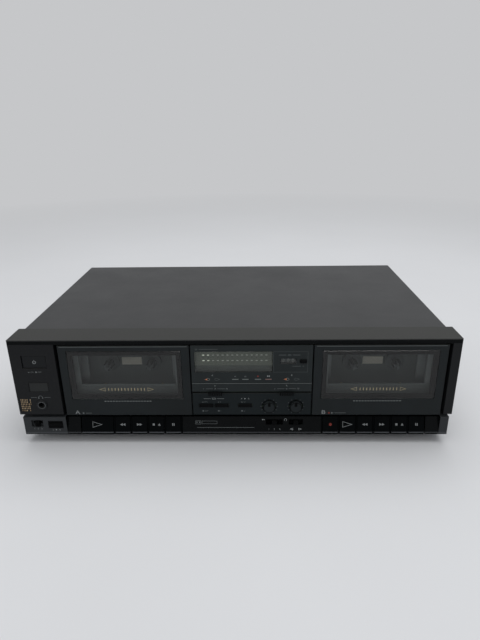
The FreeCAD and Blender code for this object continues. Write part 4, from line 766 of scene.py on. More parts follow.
# %% [markdown]
# ## Printing on the centre panels and doors
#
# The upper panel has a line of lamps: an arrow for each direction of each deck and a bar for each function.
# One arrow of each deck is lit. The unlit ones are only outlines, so that they read as lamps that are off.
# The rest is letters A and B, tape types in Roman numbers, figures, and small signs for in and out.

# %% Print the lamps
PANEL_Y, LEDGE_Y, LAMP_Z = 0.8, 0.2, 62.2
DIRECTION_LAMPS = ((-25.4, -15.2), (51.4, 61.8))     # the lit and the unlit arrow of each deck
SPEED_LAMPS, RECORD_LAMP, PAUSE_LAMP = (2.1, 11.9), 24.0, 34.2
LAMP_W, LAMP_H = 6.0, 0.9
ARROW_W, ARROW_H = 5.6, 3.0
centre_face, ledge_face = flat(PANEL_Y), flat(LEDGE_Y)


def tape_arrow(u, v, way):
    """Arrow head with a short tail, as on a direction lamp: one convex outline."""
    tip, tail, neck = u + way * ARROW_W / 2, u - way * ARROW_W / 2, u - way * ARROW_W * 0.2
    return [[(tail, v - ARROW_H * 0.22), (neck, v - ARROW_H / 2), (tip, v), (neck, v + ARROW_H / 2),
             (tail, v + ARROW_H * 0.22)]]


for lit, unlit in DIRECTION_LAMPS:
    mark("chassis", lamp_amber, centre_face, triangle_mark(lit - 1.2, LAMP_Z, -2.8, 2.2))
    mark("chassis", lens_grey, centre_face, outline_mark(tape_arrow(lit, LAMP_Z, -1), 0.4))
    mark("chassis", ink_faint, centre_face, outline_mark(tape_arrow(unlit, LAMP_Z, 1), 0.4))
for u in (*SPEED_LAMPS, RECORD_LAMP):
    mark("chassis", lens_grey, centre_face, box_mark(u, LAMP_Z, LAMP_W, LAMP_H))
mark("chassis", lens_pink, centre_face, box_mark(PAUSE_LAMP, LAMP_Z, LAMP_W, LAMP_H))
mark("chassis", ink_white, centre_face,
     text_mark("A", -20.0, 66.6, 1.6), text_mark("B", 56.6, 66.6, 1.6),
     text_mark("x1", SPEED_LAMPS[0], 65.4, 1.3), text_mark("x2", SPEED_LAMPS[1], 65.4, 1.3),
     bars(PAUSE_LAMP, 65.6, 1.4))
print("lamps at z", LAMP_Z)

# %% Print the frames and lines of the upper panel
COUNTER_NOTE_Z, RESET_NOTE_Z, METER_NOTE_Z = 88.0, 76.2, 94.2
counter_x, reset_x = middle("counter_tens").x, middle("counter_reset").x
mark("chassis", ink_soft, centre_face,
     text_mark("000", counter_x + 1.0, COUNTER_NOTE_Z, SMALL_CAP),
     box_pair(counter_x + 1.0, COUNTER_NOTE_Z, 6.6, 7.0),
     text_mark("0", reset_x, RESET_NOTE_Z, 1.4), box_mark(reset_x - 6.4, RESET_NOTE_Z, 8.0, 0.25))
mark("chassis", ink_red, centre_face, disc_mark(RECORD_LAMP, 65.5, 0.8, 14))
mark("chassis", ink_soft, centre_face,
     text_mark("dB", -34.6, METER_NOTE_Z, SMALL_CAP), box_mark(-23.0, METER_NOTE_Z, 18.0, 0.25))
mark("chassis", ink_faint, centre_face, outline_mark(box_mark(55.2, 80.7, 33.0, 21.9), 0.3))
# painted highlight: a pale line along the top of the raised ledge, where it would catch the light from above
mark("chassis", ink_soft, ledge_face, box_mark(17.95, 58.0, 116.0, 0.3))
print("upper panel printed; counter at x", round(counter_x, 1))

# %% Print the tape selectors, buttons and knobs
DECK_NOTE_Z, TAPE_NOTE_Z = 55.6, 52.2
PUSHED_Z, OUT_Z, SWITCH_NOTE_Z = 37.0, 27.0, 40.9    # marks for pushed in and out, and the line above them
BUTTON_CAP = 1.3
for deck in DECKS:
    u = middle("tape_select_" + deck).x
    mark("chassis", ink_white, ledge_face, text_mark(deck.upper(), u, DECK_NOTE_Z, SMALL_CAP),
         spaced_text(("I", "II", "IV"), u, TAPE_NOTE_Z, 11.5))
    mark("chassis", ink_soft, ledge_face, box_pair(u, TAPE_NOTE_Z, 5.7, 7.0))
for node, pushed, out in (("noise_button", "ON", "OFF"), ("noise_type_button", "2", "1"),
                          ("speed_button", "x2", "x1")):
    u = middle(node).x
    mark("chassis", ink_soft, centre_face, box_mark(u - 3.2, PUSHED_Z, 1.4, 0.5),
         text_mark(pushed, u - 1.6, PUSHED_Z + 0.3, BUTTON_CAP, "LEFT"), box_mark(u - 3.2, OUT_Z, 1.4, 1.3),
         text_mark(out, u - 1.6, OUT_Z, BUTTON_CAP, "LEFT"))
noise_mid = (middle("noise_button").x + middle("noise_type_button").x) / 2
mark("chassis", ink_white, centre_face, outline_mark(box_mark(noise_mid, SWITCH_NOTE_Z, 3.4, 1.6), 0.25),
     box_pair(noise_mid, SWITCH_NOTE_Z, 6.5, 7.0, 0.25),
     copy_sign(middle("speed_button").x, SWITCH_NOTE_Z, 3.4))
for node in knob_nodes:
    knob, face_y = middle(node), panel_box(node)[0].y
    # painted shadow: the black ring round each knob on the panel stands where the gap round the knob lies in
    # shade
    mark("chassis", ink_black, centre_face, arc_mark(knob.x, knob.z, 7.15, 0.4, 0, 360, 40),
         box_mark(knob.x, knob.z + 7.7, 1.7, 1.1))
    mark(node, ink_black, flat(face_y), box_mark(knob.x, knob.z + 3.0, 2.5, 3.5))
print("centre panels printed; noise sign at x", round(noise_mid, 1))

# %% Print the doors and their windows
DOOR_Y = panel_box("door_a")[0].y
WINDOW_Y = panel_box("door_window_a")[0].y
MASK_Y = 1.95                     # just inside the back of each window: a black border is printed there
LETTER_Z, NOTE_Z, TOP_HIGHLIGHT_Z, WINDOW_SIGN_Z = 25.6, 24.6, 97.0, 51.8
for deck in DECKS:
    body, u, (door_low, door_high) = "door_assembly_" + deck, bay[deck], panel_box("door_" + deck)
    door_face = flat(DOOR_Y)
    mark(body, ink_white, door_face, text_mark(deck.upper(), door_low.x + 11.4, LETTER_Z, 4.3, wide=1.25))
    start, length = door_low.x + 16.4, 5.6
    if deck == "b":               # the deck that records also has the red dot
        mark(body, ink_red, door_face, disc_mark(start + 0.6, NOTE_Z, 0.9, 14))
        start, length = start + 2.8, 11.0
    mark(body, ink_soft, door_face, triangle_mark(start + 1.1, NOTE_Z, 2.2, 1.9),
         box_mark(start + 3.4 + length / 2, NOTE_Z, length, 0.35))
    mark(body, ink_amber, flat(WINDOW_Y), arrow_pair(u, WINDOW_SIGN_Z, 23.8, 6.0, 4.0, 0.32))
    mark(body, ink_black, flat(MASK_Y), outline_mark(box_mark(u, 66.5, 109.6, 51.6), 4.7))
    # painted highlight: a pale line along the top edge of each door, where the rounded edge would catch the
    # light from above
    mark(body, ink_soft, door_face, box_mark((door_low.x + door_high.x) / 2, TOP_HIGHLIGHT_Z, 122.0, 0.4))
print("door marks on planes y", round(DOOR_Y, 2), "and", round(WINDOW_Y, 2))

# %% Print the back
REAR_Y = panel_box("rear_panel")[1].y
REAR_CAP = 3.0


def rear(u, v):
    """Surface: the back panel, u across as seen from behind."""
    return -u, REAR_Y, v


mark("chassis", ink_white, rear,
     text_mark("L", 133.9, 71.5, REAR_CAP), text_mark("R", 149.9, 71.5, REAR_CAP),
     text_mark("IN", 120.5, 62.0, REAR_CAP), text_mark("OUT", 118.5, 46.0, REAR_CAP),
     arc_mark(-156.25, 40.5, 1.6, 0.45, 0, 180), arc_mark(-153.5, 40.5, 1.6, 0.45, 180, 360))
print("back printed on plane y", round(REAR_Y, 1))

# %% Lay the films
SLOT_OF = {"door": "door_plastic", "key": "gloss_plastic", "power": "button_plastic",
           "balance": "button_plastic", "level": "button_plastic"}


def straight_in(point, depth):
    x, y, z = point
    return at(x, y + depth, z)


for (body, finish), faces in prints.items():
    film("print_%s_%s" % (body, finish.name), faces, straight_in, finish, body,
         SLOT_OF.get(body.split("_")[0], "frame_plastic"))
print("printed", len(prints), "films")

# %% [markdown]
# ## Counter drums with numbers
#
# A tape counter is three drums side by side, each printed 0 to 9 round its rim. The digits start as flat
# lettering. Cutting them into thin bands first lets them bend round the drum; uncut, a long straight stroke
# would pass below the surface, because a face has only its corners to bend at.

# %% Number the drums
DIGIT_CAP, BAND, BANDS = 3.4, 0.3, 13
drum_low, drum_high = panel_box("counter_tens")
drum_y, drum_z = (drum_low.y + drum_high.y) / 2, (drum_low.z + drum_high.z) / 2
drum_r = (drum_high.z - drum_low.z) / 2


def banded(faces):
    """Cut flat faces along level lines, BAND apart."""
    work = bmesh.new()
    for face in faces:
        work.faces.new([work.verts.new((u, v, 0)) for u, v in face])
    for i in range(-(BANDS // 2), BANDS // 2 + 1):
        everything = work.verts[:] + work.edges[:] + work.faces[:]
        bmesh.ops.bisect_plane(work, geom=everything, plane_co=(0, i * BAND, 0), plane_no=(0, 1, 0))
    cut = [[(v.co.x, v.co.y) for v in face.verts] for face in work.faces]
    work.free()
    return cut


def round_the_drum(point, depth):
    """From (x, distance along the rim, turn of the digit) to a point, depth below the rim."""
    x, along, turn = point
    angle, r = turn + along / drum_r, drum_r - depth
    return at(x, drum_y - r * math.cos(angle), drum_z + r * math.sin(angle))


digits = [banded(text_mark(str(n), 0, 0, DIGIT_CAP)) for n in range(10)]
for node in drum_nodes:
    faces = [[(middle(node).x + u, v, -math.tau * n / 10) for u, v in face]
             for n, digit in enumerate(digits) for face in digit]
    film("digits_" + node, faces, round_the_drum, drum_white, node, "drum_plastic")
print("drums of radius", round(drum_r, 2), "numbered")

# %% [markdown]
# ## Geometry Nodes for what repeats
#
# Segments of a meter, ticks round a knob and stripes on a foil label all repeat one small bar. A Geometry
# Nodes tree says the rule once, and its named inputs hold the sizes. An array modifier could make the rows,
# but not the dial or the ragged label. Each tree ends in Realize Instances and Set Material. The result is
# read once, kept as a plain mesh, and the modifier goes away.

# %% Growing a piece from a tree
VECTOR, FLOAT, WHOLE = "NodeSocketVector", "NodeSocketFloat", "NodeSocketInt"


def new_tree(name, sizes):
    """Geometry tree whose inputs are (label, kind of socket), and its Group Input node."""
    tree = bpy.data.node_groups.new(name, "GeometryNodeTree")
    tree.is_modifier = True
    for label, kind in (("Geometry", "NodeSocketGeometry"), *sizes, ("Finish", "NodeSocketMaterial")):
        tree.interface.new_socket(label, in_out="INPUT", socket_type=kind)
    tree.interface.new_socket("Geometry", in_out="OUTPUT", socket_type="NodeSocketGeometry")
    return tree, add(tree, "NodeGroupInput").outputs


def end_tree(tree, sizes, geometry):
    real = add(tree, "GeometryNodeRealizeInstances", {"Geometry": geometry})
    painted = add(tree, "GeometryNodeSetMaterial", {"Geometry": real, "Material": sizes["Finish"]})
    add(tree, "NodeGroupOutput", {"Geometry": painted})


def grow(name, tree, values, finish, body, base=None):
    """Read a tree once, as a plain mesh that rides on a body."""
    obj = bpy.data.objects.new(name, base or bpy.data.meshes.new(name))
    bpy.context.scene.collection.objects.link(obj)
    modifier = obj.modifiers.new("grow", "NODES")
    modifier.node_group = tree
    sockets = {s.name: s.identifier for s in tree.interface.items_tree if s.in_out == "INPUT"}
    for label, value in {**values, "Finish": finish}.items():
        modifier[sockets[label]] = value
    ready = obj.evaluated_get(bpy.context.evaluated_depsgraph_get())
    grown = bpy.data.meshes.new_from_object(ready)
    obj.modifiers.clear()
    obj.data = grown
    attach(obj, body)
    return obj


print("trees take", VECTOR, FLOAT, "and", WHOLE, "inputs")

# %% Tree: a row of bars
bar_row, sizes = new_tree("bar_row", (("Count", WHOLE), ("First", VECTOR), ("Step", VECTOR),
                                      ("Bar", VECTOR)))
line = add(bar_row, "GeometryNodeMeshLine", {"Count": sizes["Count"], "Start Location": sizes["First"],
                                            "Offset": sizes["Step"]}, mode="OFFSET")
bar = add(bar_row, "GeometryNodeMeshCube", {"Size": sizes["Bar"]})
row = add(bar_row, "GeometryNodeInstanceOnPoints", {"Points": line, "Instance": bar})
end_tree(bar_row, sizes, row)


def row_of_bars(name, count, first, pitch, bar_size, finish, body):
    """Row of bars from the first one's middle, in panel millimetres."""
    return grow(name, bar_row, {"Count": count, "First": at(*first), "Step": (pitch * MM, 0, 0),
                                "Bar": tuple(size * MM for size in bar_size)}, finish, body)


print("tree", bar_row.name, "has", len(bar_row.nodes), "nodes")

# %% Tree: ticks round a dial
dial, sizes = new_tree("dial_ticks", (("Count", WHOLE), ("Centre", VECTOR), ("Radius", FLOAT),
                                      ("First", FLOAT), ("Between", FLOAT), ("Tick", VECTOR)))
index = add(dial, "GeometryNodeInputIndex")
angle = add(dial, "ShaderNodeMath", {0: index, 1: sizes["Between"], 2: sizes["First"]},
            operation="MULTIPLY_ADD")
across = add(dial, "ShaderNodeMath", {0: angle}, operation="SINE")
up = add(dial, "ShaderNodeMath", {0: angle}, operation="COSINE")
way = add(dial, "ShaderNodeCombineXYZ", {"X": across, "Z": up})
place = add(dial, "ShaderNodeVectorMath", {0: way, 1: sizes["Radius"], 2: sizes["Centre"]},
            operation="MULTIPLY_ADD")
turn = add(dial, "ShaderNodeCombineXYZ", {"Y": angle})
line = add(dial, "GeometryNodeMeshLine", {"Count": sizes["Count"], "Offset": (0, 0, 0)}, mode="OFFSET")
ring = add(dial, "GeometryNodeSetPosition", {"Geometry": line, "Position": place})
tick = add(dial, "GeometryNodeMeshCube", {"Size": sizes["Tick"]})
ticks = add(dial, "GeometryNodeInstanceOnPoints", {"Points": ring, "Instance": tick, "Rotation": turn})
end_tree(dial, sizes, ticks)
print("tree", dial.name, "has", len(dial.nodes), "nodes")

# %% [markdown]
# ## The level meter
#
# Behind the meter's window stands a card with two rows of bar segments, one for each channel, and a scale of
# decibels between them. The first segments are lit. The card is two plates, the lower one a shade darker.

# %% Meter card, segments and scale
CARD_Y = (4.1, 4.75)              # front and back of the card, between the window and the lamp block
CARD_TOP, SPLIT_Z, CARD_BOTTOM = 92.4, 75.6, 69.2
METER_ROWS, SCALE_Z = (86.7, 80.9), 83.8
SEGMENTS, LIT, SEGMENT_PITCH, FIRST_X = 14, 2, 4.65, -28.3
SEGMENT = (2.0, 0.2, 0.8)
DECIBELS = ("20", "10", "7", "5", "3", "1", "0", "1", "2", "3", "4", "5", "6", "8")
window_low, window_high = panel_box("meter_window")
card_x, card_w = (window_low.x + window_high.x) / 2, window_high.x - window_low.x - 1.0
for name, low_z, high_z, finish in (("scale", SPLIT_Z, CARD_TOP, card_pale),
                                    ("lower", CARD_BOTTOM, SPLIT_Z, card_dark)):
    plate("meter_card_" + name, card_x, (high_z + low_z) / 2, card_w, high_z - low_z, *CARD_Y, 0.1, finish,
          "chassis", "gloss_plastic")
for z in METER_ROWS:
    for name, count, start, finish in (("lit", LIT, 0, lamp_pale),
                                       ("unlit", SEGMENTS - LIT, LIT, segment_grey)):
        row_of_bars("meter_%s_%d" % (name, z), count,
                    (FIRST_X + start * SEGMENT_PITCH, CARD_Y[0] - 0.05, z), SEGMENT_PITCH, SEGMENT, finish,
                    "chassis")
scale = [shape for i, words in enumerate(DECIBELS)
         for shape in text_mark(words, FIRST_X + i * SEGMENT_PITCH, SCALE_Z, 1.3)]
for v, side in zip(METER_ROWS, "LR"):
    scale += text_mark(side, FIRST_X - 4.4, v, SMALL_CAP)
film("meter_numbers", [[(u, CARD_Y[0], v) for u, v in face] for face in scale], straight_in, ink_faint,
     "chassis", "gloss_plastic")
print("meter rows at z", METER_ROWS, "with", SEGMENTS, "segments each")

# %% [markdown]
# ## Dials and rows of bars
#
# Round each knob the panel is printed with a ring of ticks from stop to stop. Each door carries a fine dashed
# line under its window, and its window a row of upright bars between two arrows.

# %% Knob scales, dashes and window bars
TICKS, SWEEP, TICK_R = 11, math.radians(300), 8.0
for node in knob_nodes:
    knob = middle(node)
    grow("ticks_" + node, dial,
         {"Count": TICKS, "Centre": at(knob.x, PANEL_Y, knob.z), "Radius": TICK_R * MM, "First": -SWEEP / 2,
          "Between": SWEEP / (TICKS - 1), "Tick": (0.3 * MM, 0.1 * MM, 1.0 * MM)}, ink_soft, "chassis")
DASHES, DASH_PITCH, DASH_Z, DASH = 17, 2.8, 38.2, (1.5, 0.08, 0.6)
WINDOW_BARS, WINDOW_PITCH, WINDOW_BAR = 12, 3.2, (0.7, 0.08, 2.9)
for deck in DECKS:
    row_of_bars("dashes_" + deck, DASHES, (bay[deck] - (DASHES - 1) * DASH_PITCH / 2, DOOR_Y, DASH_Z),
                DASH_PITCH, DASH, ink_white, "door_assembly_" + deck)
    row_of_bars("window_bars_" + deck, WINDOW_BARS,
                (bay[deck] - (WINDOW_BARS - 1) * WINDOW_PITCH / 2, WINDOW_Y, WINDOW_SIGN_Z), WINDOW_PITCH,
                WINDOW_BAR, ink_amber, "door_assembly_" + deck)
print("ticks", TICKS, "a knob, dashes", DASHES, "a door")

# %% [markdown]
# ## Ribs between the keys and on the tape selectors
#
# Thin polished ribs part the keys and follow their side outline, so one rib is drawn as a closed side shape
# with a width and a tree copies it along the row. The slides that choose the tape have small grip ribs.

# %% Tree: a row of copies, for the ribs between the keys
copies, sizes = new_tree("row_of_copies", (("Count", WHOLE), ("Step", VECTOR)))
line = add(copies, "GeometryNodeMeshLine", {"Count": sizes["Count"], "Offset": sizes["Step"]}, mode="OFFSET")
row = add(copies, "GeometryNodeInstanceOnPoints", {"Points": line, "Instance": sizes["Geometry"]})
end_tree(copies, sizes, row)
RIB_W, KEY_PITCH = 1.4, 17.15
RIB_ROWS = (("a", 5, -121.5), ("b", 6, 88.1))        # deck, ribs, and the middle of the first one
RIB_SIDE = ((0.5, 0.3), (0.5, KEY_LIP), (4.8, key_top - 0.2), (7.6, key_top - 0.2), (7.6, 0.3))
n = len(RIB_SIDE)
rib_faces = [list(range(n))[::-1], list(range(n, 2 * n))]
rib_faces += [[i, (i + 1) % n, n + (i + 1) % n, n + i] for i in range(n)]
for deck, count, first in RIB_ROWS:
    rib = bpy.data.meshes.new("rib")
    rib.from_pydata([at(first + w, y, z) for w in (-RIB_W / 2, RIB_W / 2) for y, z in RIB_SIDE], [],
                    rib_faces)
    grow("key_ribs_" + deck, copies, {"Count": count, "Step": (KEY_PITCH * MM, 0, 0)}, styrene_rib,
         "chassis", base=rib)
print("ribs between keys every", KEY_PITCH, "mm")

# %% Grip ribs on the tape selectors
GRIP_RIBS, GRIP_PITCH, GRIP_RIB = 7, 1.7, (0.4, 0.3, 2.4)
for deck in DECKS:
    node = "tape_select_" + deck
    grip, face_y = middle(node), panel_box(node)[0].y
    row_of_bars("grip_" + deck, GRIP_RIBS, (grip.x - (GRIP_RIBS - 1) / 2 * GRIP_PITCH, face_y, grip.z),
                GRIP_PITCH, GRIP_RIB, abs_knob, node)
print("grip ribs", GRIP_RIBS, "a slide")

# %% [markdown]
# ## Drive belts
#
# One rubber belt runs round the motor pulley and both flywheels of a deck. Its path is the outline of three
# discs, as a string pulled tight round them. Curve to Mesh then sweeps a small round section along the path.

# %% Tree: a belt that follows a path
belt, sizes = new_tree("belt", (("Thickness", FLOAT),))
path = add(belt, "GeometryNodeMeshToCurve", {0: sizes["Geometry"]})
section = add(belt, "GeometryNodeCurvePrimitiveCircle", {"Resolution": 8,
                                                         "Radius": sizes["Thickness"]})
sweep = add(belt, "GeometryNodeCurveToMesh", {"Curve": path,
                                              "Profile Curve": section.outputs["Curve"]})
end_tree(belt, sizes, sweep)
BELT_R, BELT_Y, BELT_GAP = 0.7, 60.5, 0.05           # the gap keeps the belt off the wheels


def tight_loop(discs, steps=48):
    """Outline of discs (x, z, r) as an anticlockwise list of points."""
    turns = [math.tau * i / steps for i in range(steps)]
    spots = sorted({(round(x + r * math.cos(turn), 4), round(z + r * math.sin(turn), 4))
                    for x, z, r in discs for turn in turns})
    loop = []
    for run in (spots, spots[::-1]):
        half = []
        for spot in run:
            while len(half) > 1:
                (x0, z0), (x1, z1) = half[-2:]
                if (x1 - x0) * (spot[1] - z0) > (z1 - z0) * (spot[0] - x0):
                    break
                half.pop()
            half.append(spot)
        loop += half[:-1]
    return loop


for deck in DECKS:
    discs = []
    for node in ("motor_pulley_" + deck, "capstan_left_" + deck, "capstan_right_" + deck):
        low, high = panel_box(node)
        discs.append(((low.x + high.x) / 2, (low.z + high.z) / 2,
                      (high.z - low.z) / 2 + BELT_R + BELT_GAP))
    loop = tight_loop(discs)
    path_mesh = bpy.data.meshes.new("belt_path")
    edges = [(i, (i + 1) % len(loop)) for i in range(len(loop))]
    path_mesh.from_pydata([at(x, BELT_Y, z) for x, z in loop], edges, [])
    grow("belt_" + deck, belt, {"Thickness": BELT_R * MM}, rubber_black, "chassis",
         base=path_mesh)
print("belts follow", len(loop), "points")

# %% [markdown]
# ## The foil label
#
# The left block has a small stamped foil label: rows of upright gold bars whose right edge is ragged. Random
# deletion, likelier towards the right, makes that edge; its fixed seed keeps it the same on every run.

# %% Tree: bars on a grid with a ragged edge
foil, sizes = new_tree("foil_bars", (("Columns", WHOLE), ("Rows", WHOLE), ("Size", VECTOR),
                                     ("Middle", VECTOR), ("Bar", VECTOR), ("Ragged", FLOAT),
                                     ("Seed", WHOLE)))
span = add(foil, "ShaderNodeSeparateXYZ", {"Vector": sizes["Size"]})
grid = add(foil, "GeometryNodeMeshGrid", {"Size X": span.outputs["X"], "Size Y": span.outputs["Z"],
                                          "Vertices X": sizes["Columns"], "Vertices Y": sizes["Rows"]})
spot = add(foil, "ShaderNodeSeparateXYZ", {"Vector": add(foil, "GeometryNodeInputPosition")})
across = add(foil, "ShaderNodeMath", {0: spot.outputs["X"], 1: span.outputs["X"]},
             operation="DIVIDE")
chance = add(foil, "FunctionNodeRandomValue", {"Seed": sizes["Seed"]}, data_type="FLOAT")
spoiled = add(foil, "ShaderNodeMath", {0: chance, 1: sizes["Ragged"], 2: across},
              operation="MULTIPLY_ADD")
lost = add(foil, "FunctionNodeCompare", {"A": spoiled, "B": 0.5}, operation="GREATER_THAN")
kept = add(foil, "GeometryNodeDeleteGeometry", {"Geometry": grid, "Selection": lost})
upright = add(foil, "GeometryNodeTransform", {"Geometry": kept, "Translation": sizes["Middle"],
                                             "Rotation": (math.pi / 2, 0, 0)})
bar = add(foil, "GeometryNodeMeshCube", {"Size": sizes["Bar"]})
bars_on_grid = add(foil, "GeometryNodeInstanceOnPoints", {"Points": upright, "Instance": bar})
end_tree(foil, sizes, bars_on_grid)
FOIL_COLUMNS, FOIL_ROWS, FOIL_RAGGED, FOIL_SEED = 8, 6, 0.45, 3
FOIL_X, FOIL_Z, FOIL_W, FOIL_H = -205.7, 34.2, 10.8, 12.0
foil_label = grow("foil_label", foil,
                  {"Columns": FOIL_COLUMNS, "Rows": FOIL_ROWS, "Size": (FOIL_W * MM, 0, FOIL_H * MM),
                   "Middle": at(FOIL_X, 0, FOIL_Z), "Bar": (0.65 * MM, 0.08 * MM, 1.6 * MM),
                   "Ragged": FOIL_RAGGED, "Seed": FOIL_SEED}, gold_foil, "chassis")
print("foil label has", len(foil_label.data.polygons) // 6, "bars")

# %% [markdown]
# ## Small plates and rings
#
# A blank plate closes a recess in the left block, and a clear plate covers the counter. A glossy black band
# along the top rail is a painted shadow, the shade under the rail laid on the frame as a dark strip. A pale
# reflector stands behind each cassette, to show how much tape is left. Rings are turned: a closed line of
# radius and depth is swept round an axis. They make the jack's bush, the sockets' shells, the tyres of the
# pinch rollers, the brass pins of the mains inlet, the rims of the knobs, and the felt washers that close
# the holes behind them.

# %% Plates
BLANK_X, BLANK_Z = -191.0, 54.3
RAIL_Z, RAIL_W, RAIL_H = 101.6, 429.0, 3.4
WELL_Y, REFLECTOR_Z = 31.0, 68.0  # front of the deck plate, and height of the reflector on it
plate("blank_plate", BLANK_X, BLANK_Z, 18.3, 9.3, 0.1, 0.6, 0.15, abs_blank, "chassis", "frame_plastic")
# painted shadow: a glossy black band on the frame's face under the top rail, where the rail's shade falls
plate("painted_shadow_band", 0, RAIL_Z, RAIL_W, RAIL_H, -0.06, 0.02, 0.02, styrene_shadow_band, "chassis", "gloss_plastic")
counter_low, counter_high = panel_box("counter_hundreds")[0], panel_box("counter_units")[1]
plate("counter_window", (counter_low.x + counter_high.x) / 2, drum_z, 14.8, 5.6, 1.1, 1.9, 0.1,
      meter_acrylic, "chassis", "smoked_acrylic")
for deck in DECKS:
    plate("reflector_" + deck, bay[deck], REFLECTOR_Z, 20.4, 8.2, WELL_Y - 0.5, WELL_Y, 0.1, film_beige,
          "chassis", "chassis_steel")
print("plates made; counter window at z", round(drum_z, 1))

# %% Sockets' rings
PHONO_X, PHONO_Z, PHONO_HALF = -141.9, 54.0, 8.0
SHELL = [(4.15, 260.2), (4.3, 260.2), (4.3, 267.7), (4.1, 268.06), (3.4, 268.06), (3.4, 267.96),
         (4.15, 267.96)]
INSULATOR = [(1.75, 267.9), (3.35, 267.9), (3.35, 268.04), (1.75, 268.04)]
BUSH = [(3.25, -0.85), (3.9, -0.85), (4.15, -0.7), (3.25, -0.7)]
turned("jack_bush", (jack.x, jack.z), BUSH, black_nickel, "chassis")
for side, way in SIDES:
    for level, lift in (("low", -1), ("high", 1)):
        centre = (PHONO_X + way * PHONO_HALF, PHONO_Z + lift * PHONO_HALF)
        turned("phono_shell_%s_%s" % (side, level), centre, SHELL, nickel, "chassis")
        turned("phono_ring_%s_%s" % (side, level), centre, INSULATOR,
               insulator_red if side == "left" else insulator_white, "chassis")
print("sockets ringed round x", PHONO_X)

# %% Rollers, inlet pins and knobs
ROLLER_X, ROLLER_Z = 30.0, 28.4
TYRE = [(4.95, 14.9), (5.08, 15.1), (5.08, 21.5), (4.95, 21.7)]
INLET_X, INLET_Z, PIN_HALF = 154.8, 30.0, 4.3
PIN = [(1.15, 248.5), (1.3, 248.5), (1.3, 257.5), (0.7, 258.2), (0.0, 258.3), (0.0, 248.5)]
RIM_R, RIM_DEEP = (5.2, 5.8), 0.06
WASHER = [(2.6, 8.3), (6.9, 8.3), (6.9, 8.9), (2.6, 8.9)]
for deck in DECKS:
    for side, way in SIDES:
        turned("roller_tyre_%s_%s" % (side, deck), (bay[deck] + way * ROLLER_X, ROLLER_Z), TYRE,
               rubber_black, "head_carriage_" + deck)
for side, way in SIDES:
    turned("inlet_pin_" + side, (INLET_X + way * PIN_HALF, INLET_Z), PIN, turned_brass, "chassis",
           sides=16)
for node in knob_nodes:
    knob, face_y = middle(node), panel_box(node)[0].y
    rim = [(RIM_R[0], face_y), (RIM_R[0], face_y - RIM_DEEP), (RIM_R[1], face_y - RIM_DEEP),
           (RIM_R[1], face_y)]
    turned("rim_" + node, (knob.x, knob.z), rim, ink_black, node, sides=48)
    turned("washer_" + node, (knob.x, knob.z), WASHER, felt_black, "chassis", sides=48)

# %% [markdown]
# ## Floor, light and camera
#
# A plain pale floor fades in the distance into a backdrop of one pale grey. Large soft lamps stand in for a
# bright room: most of the light falls from above, so that the enamelled top reads lighter than the upright
# front. The backdrop is the world's colour as the camera, a mirror and a window see it; the light that both
# the world and the far floor throw on matt things is set apart from it.

# %% Stage
BACKDROP, ROOM_LIGHT, ROOM_STRENGTH = "#c6c7c9", "#d6d8db", 0.55
FLOOR_DARK, FLOOR_PALE = "#d7d8da", "#dadbdd"
FLOOR_REACH, FADE_FROM, FADE_TO = 6.0, 0.7, 1.8      # metres from the middle of the floor


def stage_plane(name, corners, material):
    mesh = bpy.data.meshes.new(name)
    mesh.from_pydata(corners, [], [list(range(len(corners)))])
    mesh.materials.append(material)
    obj = bpy.data.objects.new(name, mesh)
    bpy.context.scene.collection.objects.link(obj)


def directly_seen(tree):
    """1 for rays from the camera, a mirror or a window; 0 for the light that falls on matt things."""
    path = add(tree, "ShaderNodeLightPath").outputs
    seen = add(tree, "ShaderNodeMath", {0: path["Is Camera Ray"], 1: path["Is Glossy Ray"]},
               operation="MAXIMUM")
    return add(tree, "ShaderNodeMath", {0: seen, 1: path["Is Transmission Ray"]}, operation="MAXIMUM")


pale, tree, shader, place = new_material("stage_pale_card", "ShaderNodeMixShader")
card = add(tree, "ShaderNodeTexNoise", {"Vector": place, **blobs(300.0)})
shade = add(tree, "ShaderNodeValToRGB", {"Fac": card}, stops=((0.3, FLOOR_DARK), (0.7, FLOOR_PALE)))
away = add(tree, "ShaderNodeVectorMath", {0: place}, operation="LENGTH")
far = add(tree, "ShaderNodeMapRange", {"Value": away, "From Min": FADE_FROM, "From Max": FADE_TO})
fade = add(tree, "ShaderNodeMath", {0: far, 1: directly_seen(tree)}, operation="MULTIPLY")
near_floor = add(tree, "ShaderNodeBsdfPrincipled", {"Base Color": shade, "Roughness": 0.8})
far_floor = add(tree, "ShaderNodeEmission", {"Color": srgb(BACKDROP)})
wire(tree, shader, {0: fade, 1: near_floor, 2: far_floor})
corners = [(x * FLOOR_REACH, y * FLOOR_REACH, 0) for x, y in ((-1, -1), (1, -1), (1, 1), (-1, 1))]
stage_plane("floor", corners, pale)
print("floor reaches", FLOOR_REACH, "m each way")

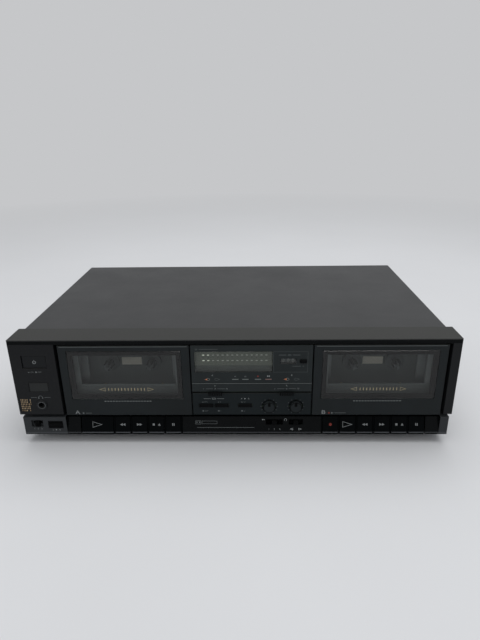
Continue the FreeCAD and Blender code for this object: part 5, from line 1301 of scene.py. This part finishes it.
# %% World
world = bpy.data.worlds.new("studio")
world.use_nodes = True
tree = world.node_tree
tree.nodes.clear()
light = add(tree, "ShaderNodeBackground", {"Color": srgb(ROOM_LIGHT), "Strength": ROOM_STRENGTH})
backdrop = add(tree, "ShaderNodeBackground", {"Color": srgb(BACKDROP), "Strength": 1.0})
both = add(tree, "ShaderNodeMixShader", {0: directly_seen(tree), 1: light, 2: backdrop})
add(tree, "ShaderNodeOutputWorld", {"Surface": both})
bpy.context.scene.world = world
print("world", world.name)

# %% Lamps


def soft_lamp(name, place, target, size, watts):
    """Rectangular lamp of a size in metres that looks at its target."""
    data = bpy.data.lights.new(name, "AREA")
    data.shape = "RECTANGLE"
    data.size, data.size_y = size
    data.energy = watts
    obj = bpy.data.objects.new(name, data)
    obj.location = place
    obj.rotation_euler = (Vector(target) - Vector(place)).to_track_quat("-Z", "Y").to_euler()
    bpy.context.scene.collection.objects.link(obj)


soft_lamp("lamp_overhead", (0.2, 0.1, 1.8), (0, 0, 0), (2.4, 2.0), 27)
soft_lamp("lamp_front", (-0.6, -1.8, 1.3), (0, -0.1, 0.05), (1.8, 1.2), 7)
bpy.context.scene.view_settings.view_transform = "Standard"

# %% Camera
CAMERA_AT = (18.66, -436.32, 294.89)                 # panel millimetres
YAW, PITCH, ROLL = -0.02552, 0.37278, -0.01462       # radians
FOCAL_PX, FRAME_PX, SENSOR = 508.27, 640, 36.0       # focal length and frame height in pixels; sensor in mm
forward = Vector((math.sin(YAW) * math.cos(PITCH), math.cos(YAW) * math.cos(PITCH), -math.sin(PITCH)))
level = Vector((math.cos(YAW), -math.sin(YAW), 0))
upward = level.cross(forward)
side = level * math.cos(ROLL) + upward * math.sin(ROLL)
top = upward * math.cos(ROLL) - level * math.sin(ROLL)
camera_data = bpy.data.cameras.new("camera")
camera_data.sensor_width = SENSOR
camera_data.lens = FOCAL_PX / FRAME_PX * SENSOR
camera = bpy.data.objects.new("camera", camera_data)
turn = Matrix((side, top, -forward)).transposed().to_4x4()
camera.matrix_world = Matrix.Translation(at(*CAMERA_AT)) @ turn
bpy.context.scene.collection.objects.link(camera)
bpy.context.scene.camera = camera
print("camera at", [round(v, 3) for v in camera.location])
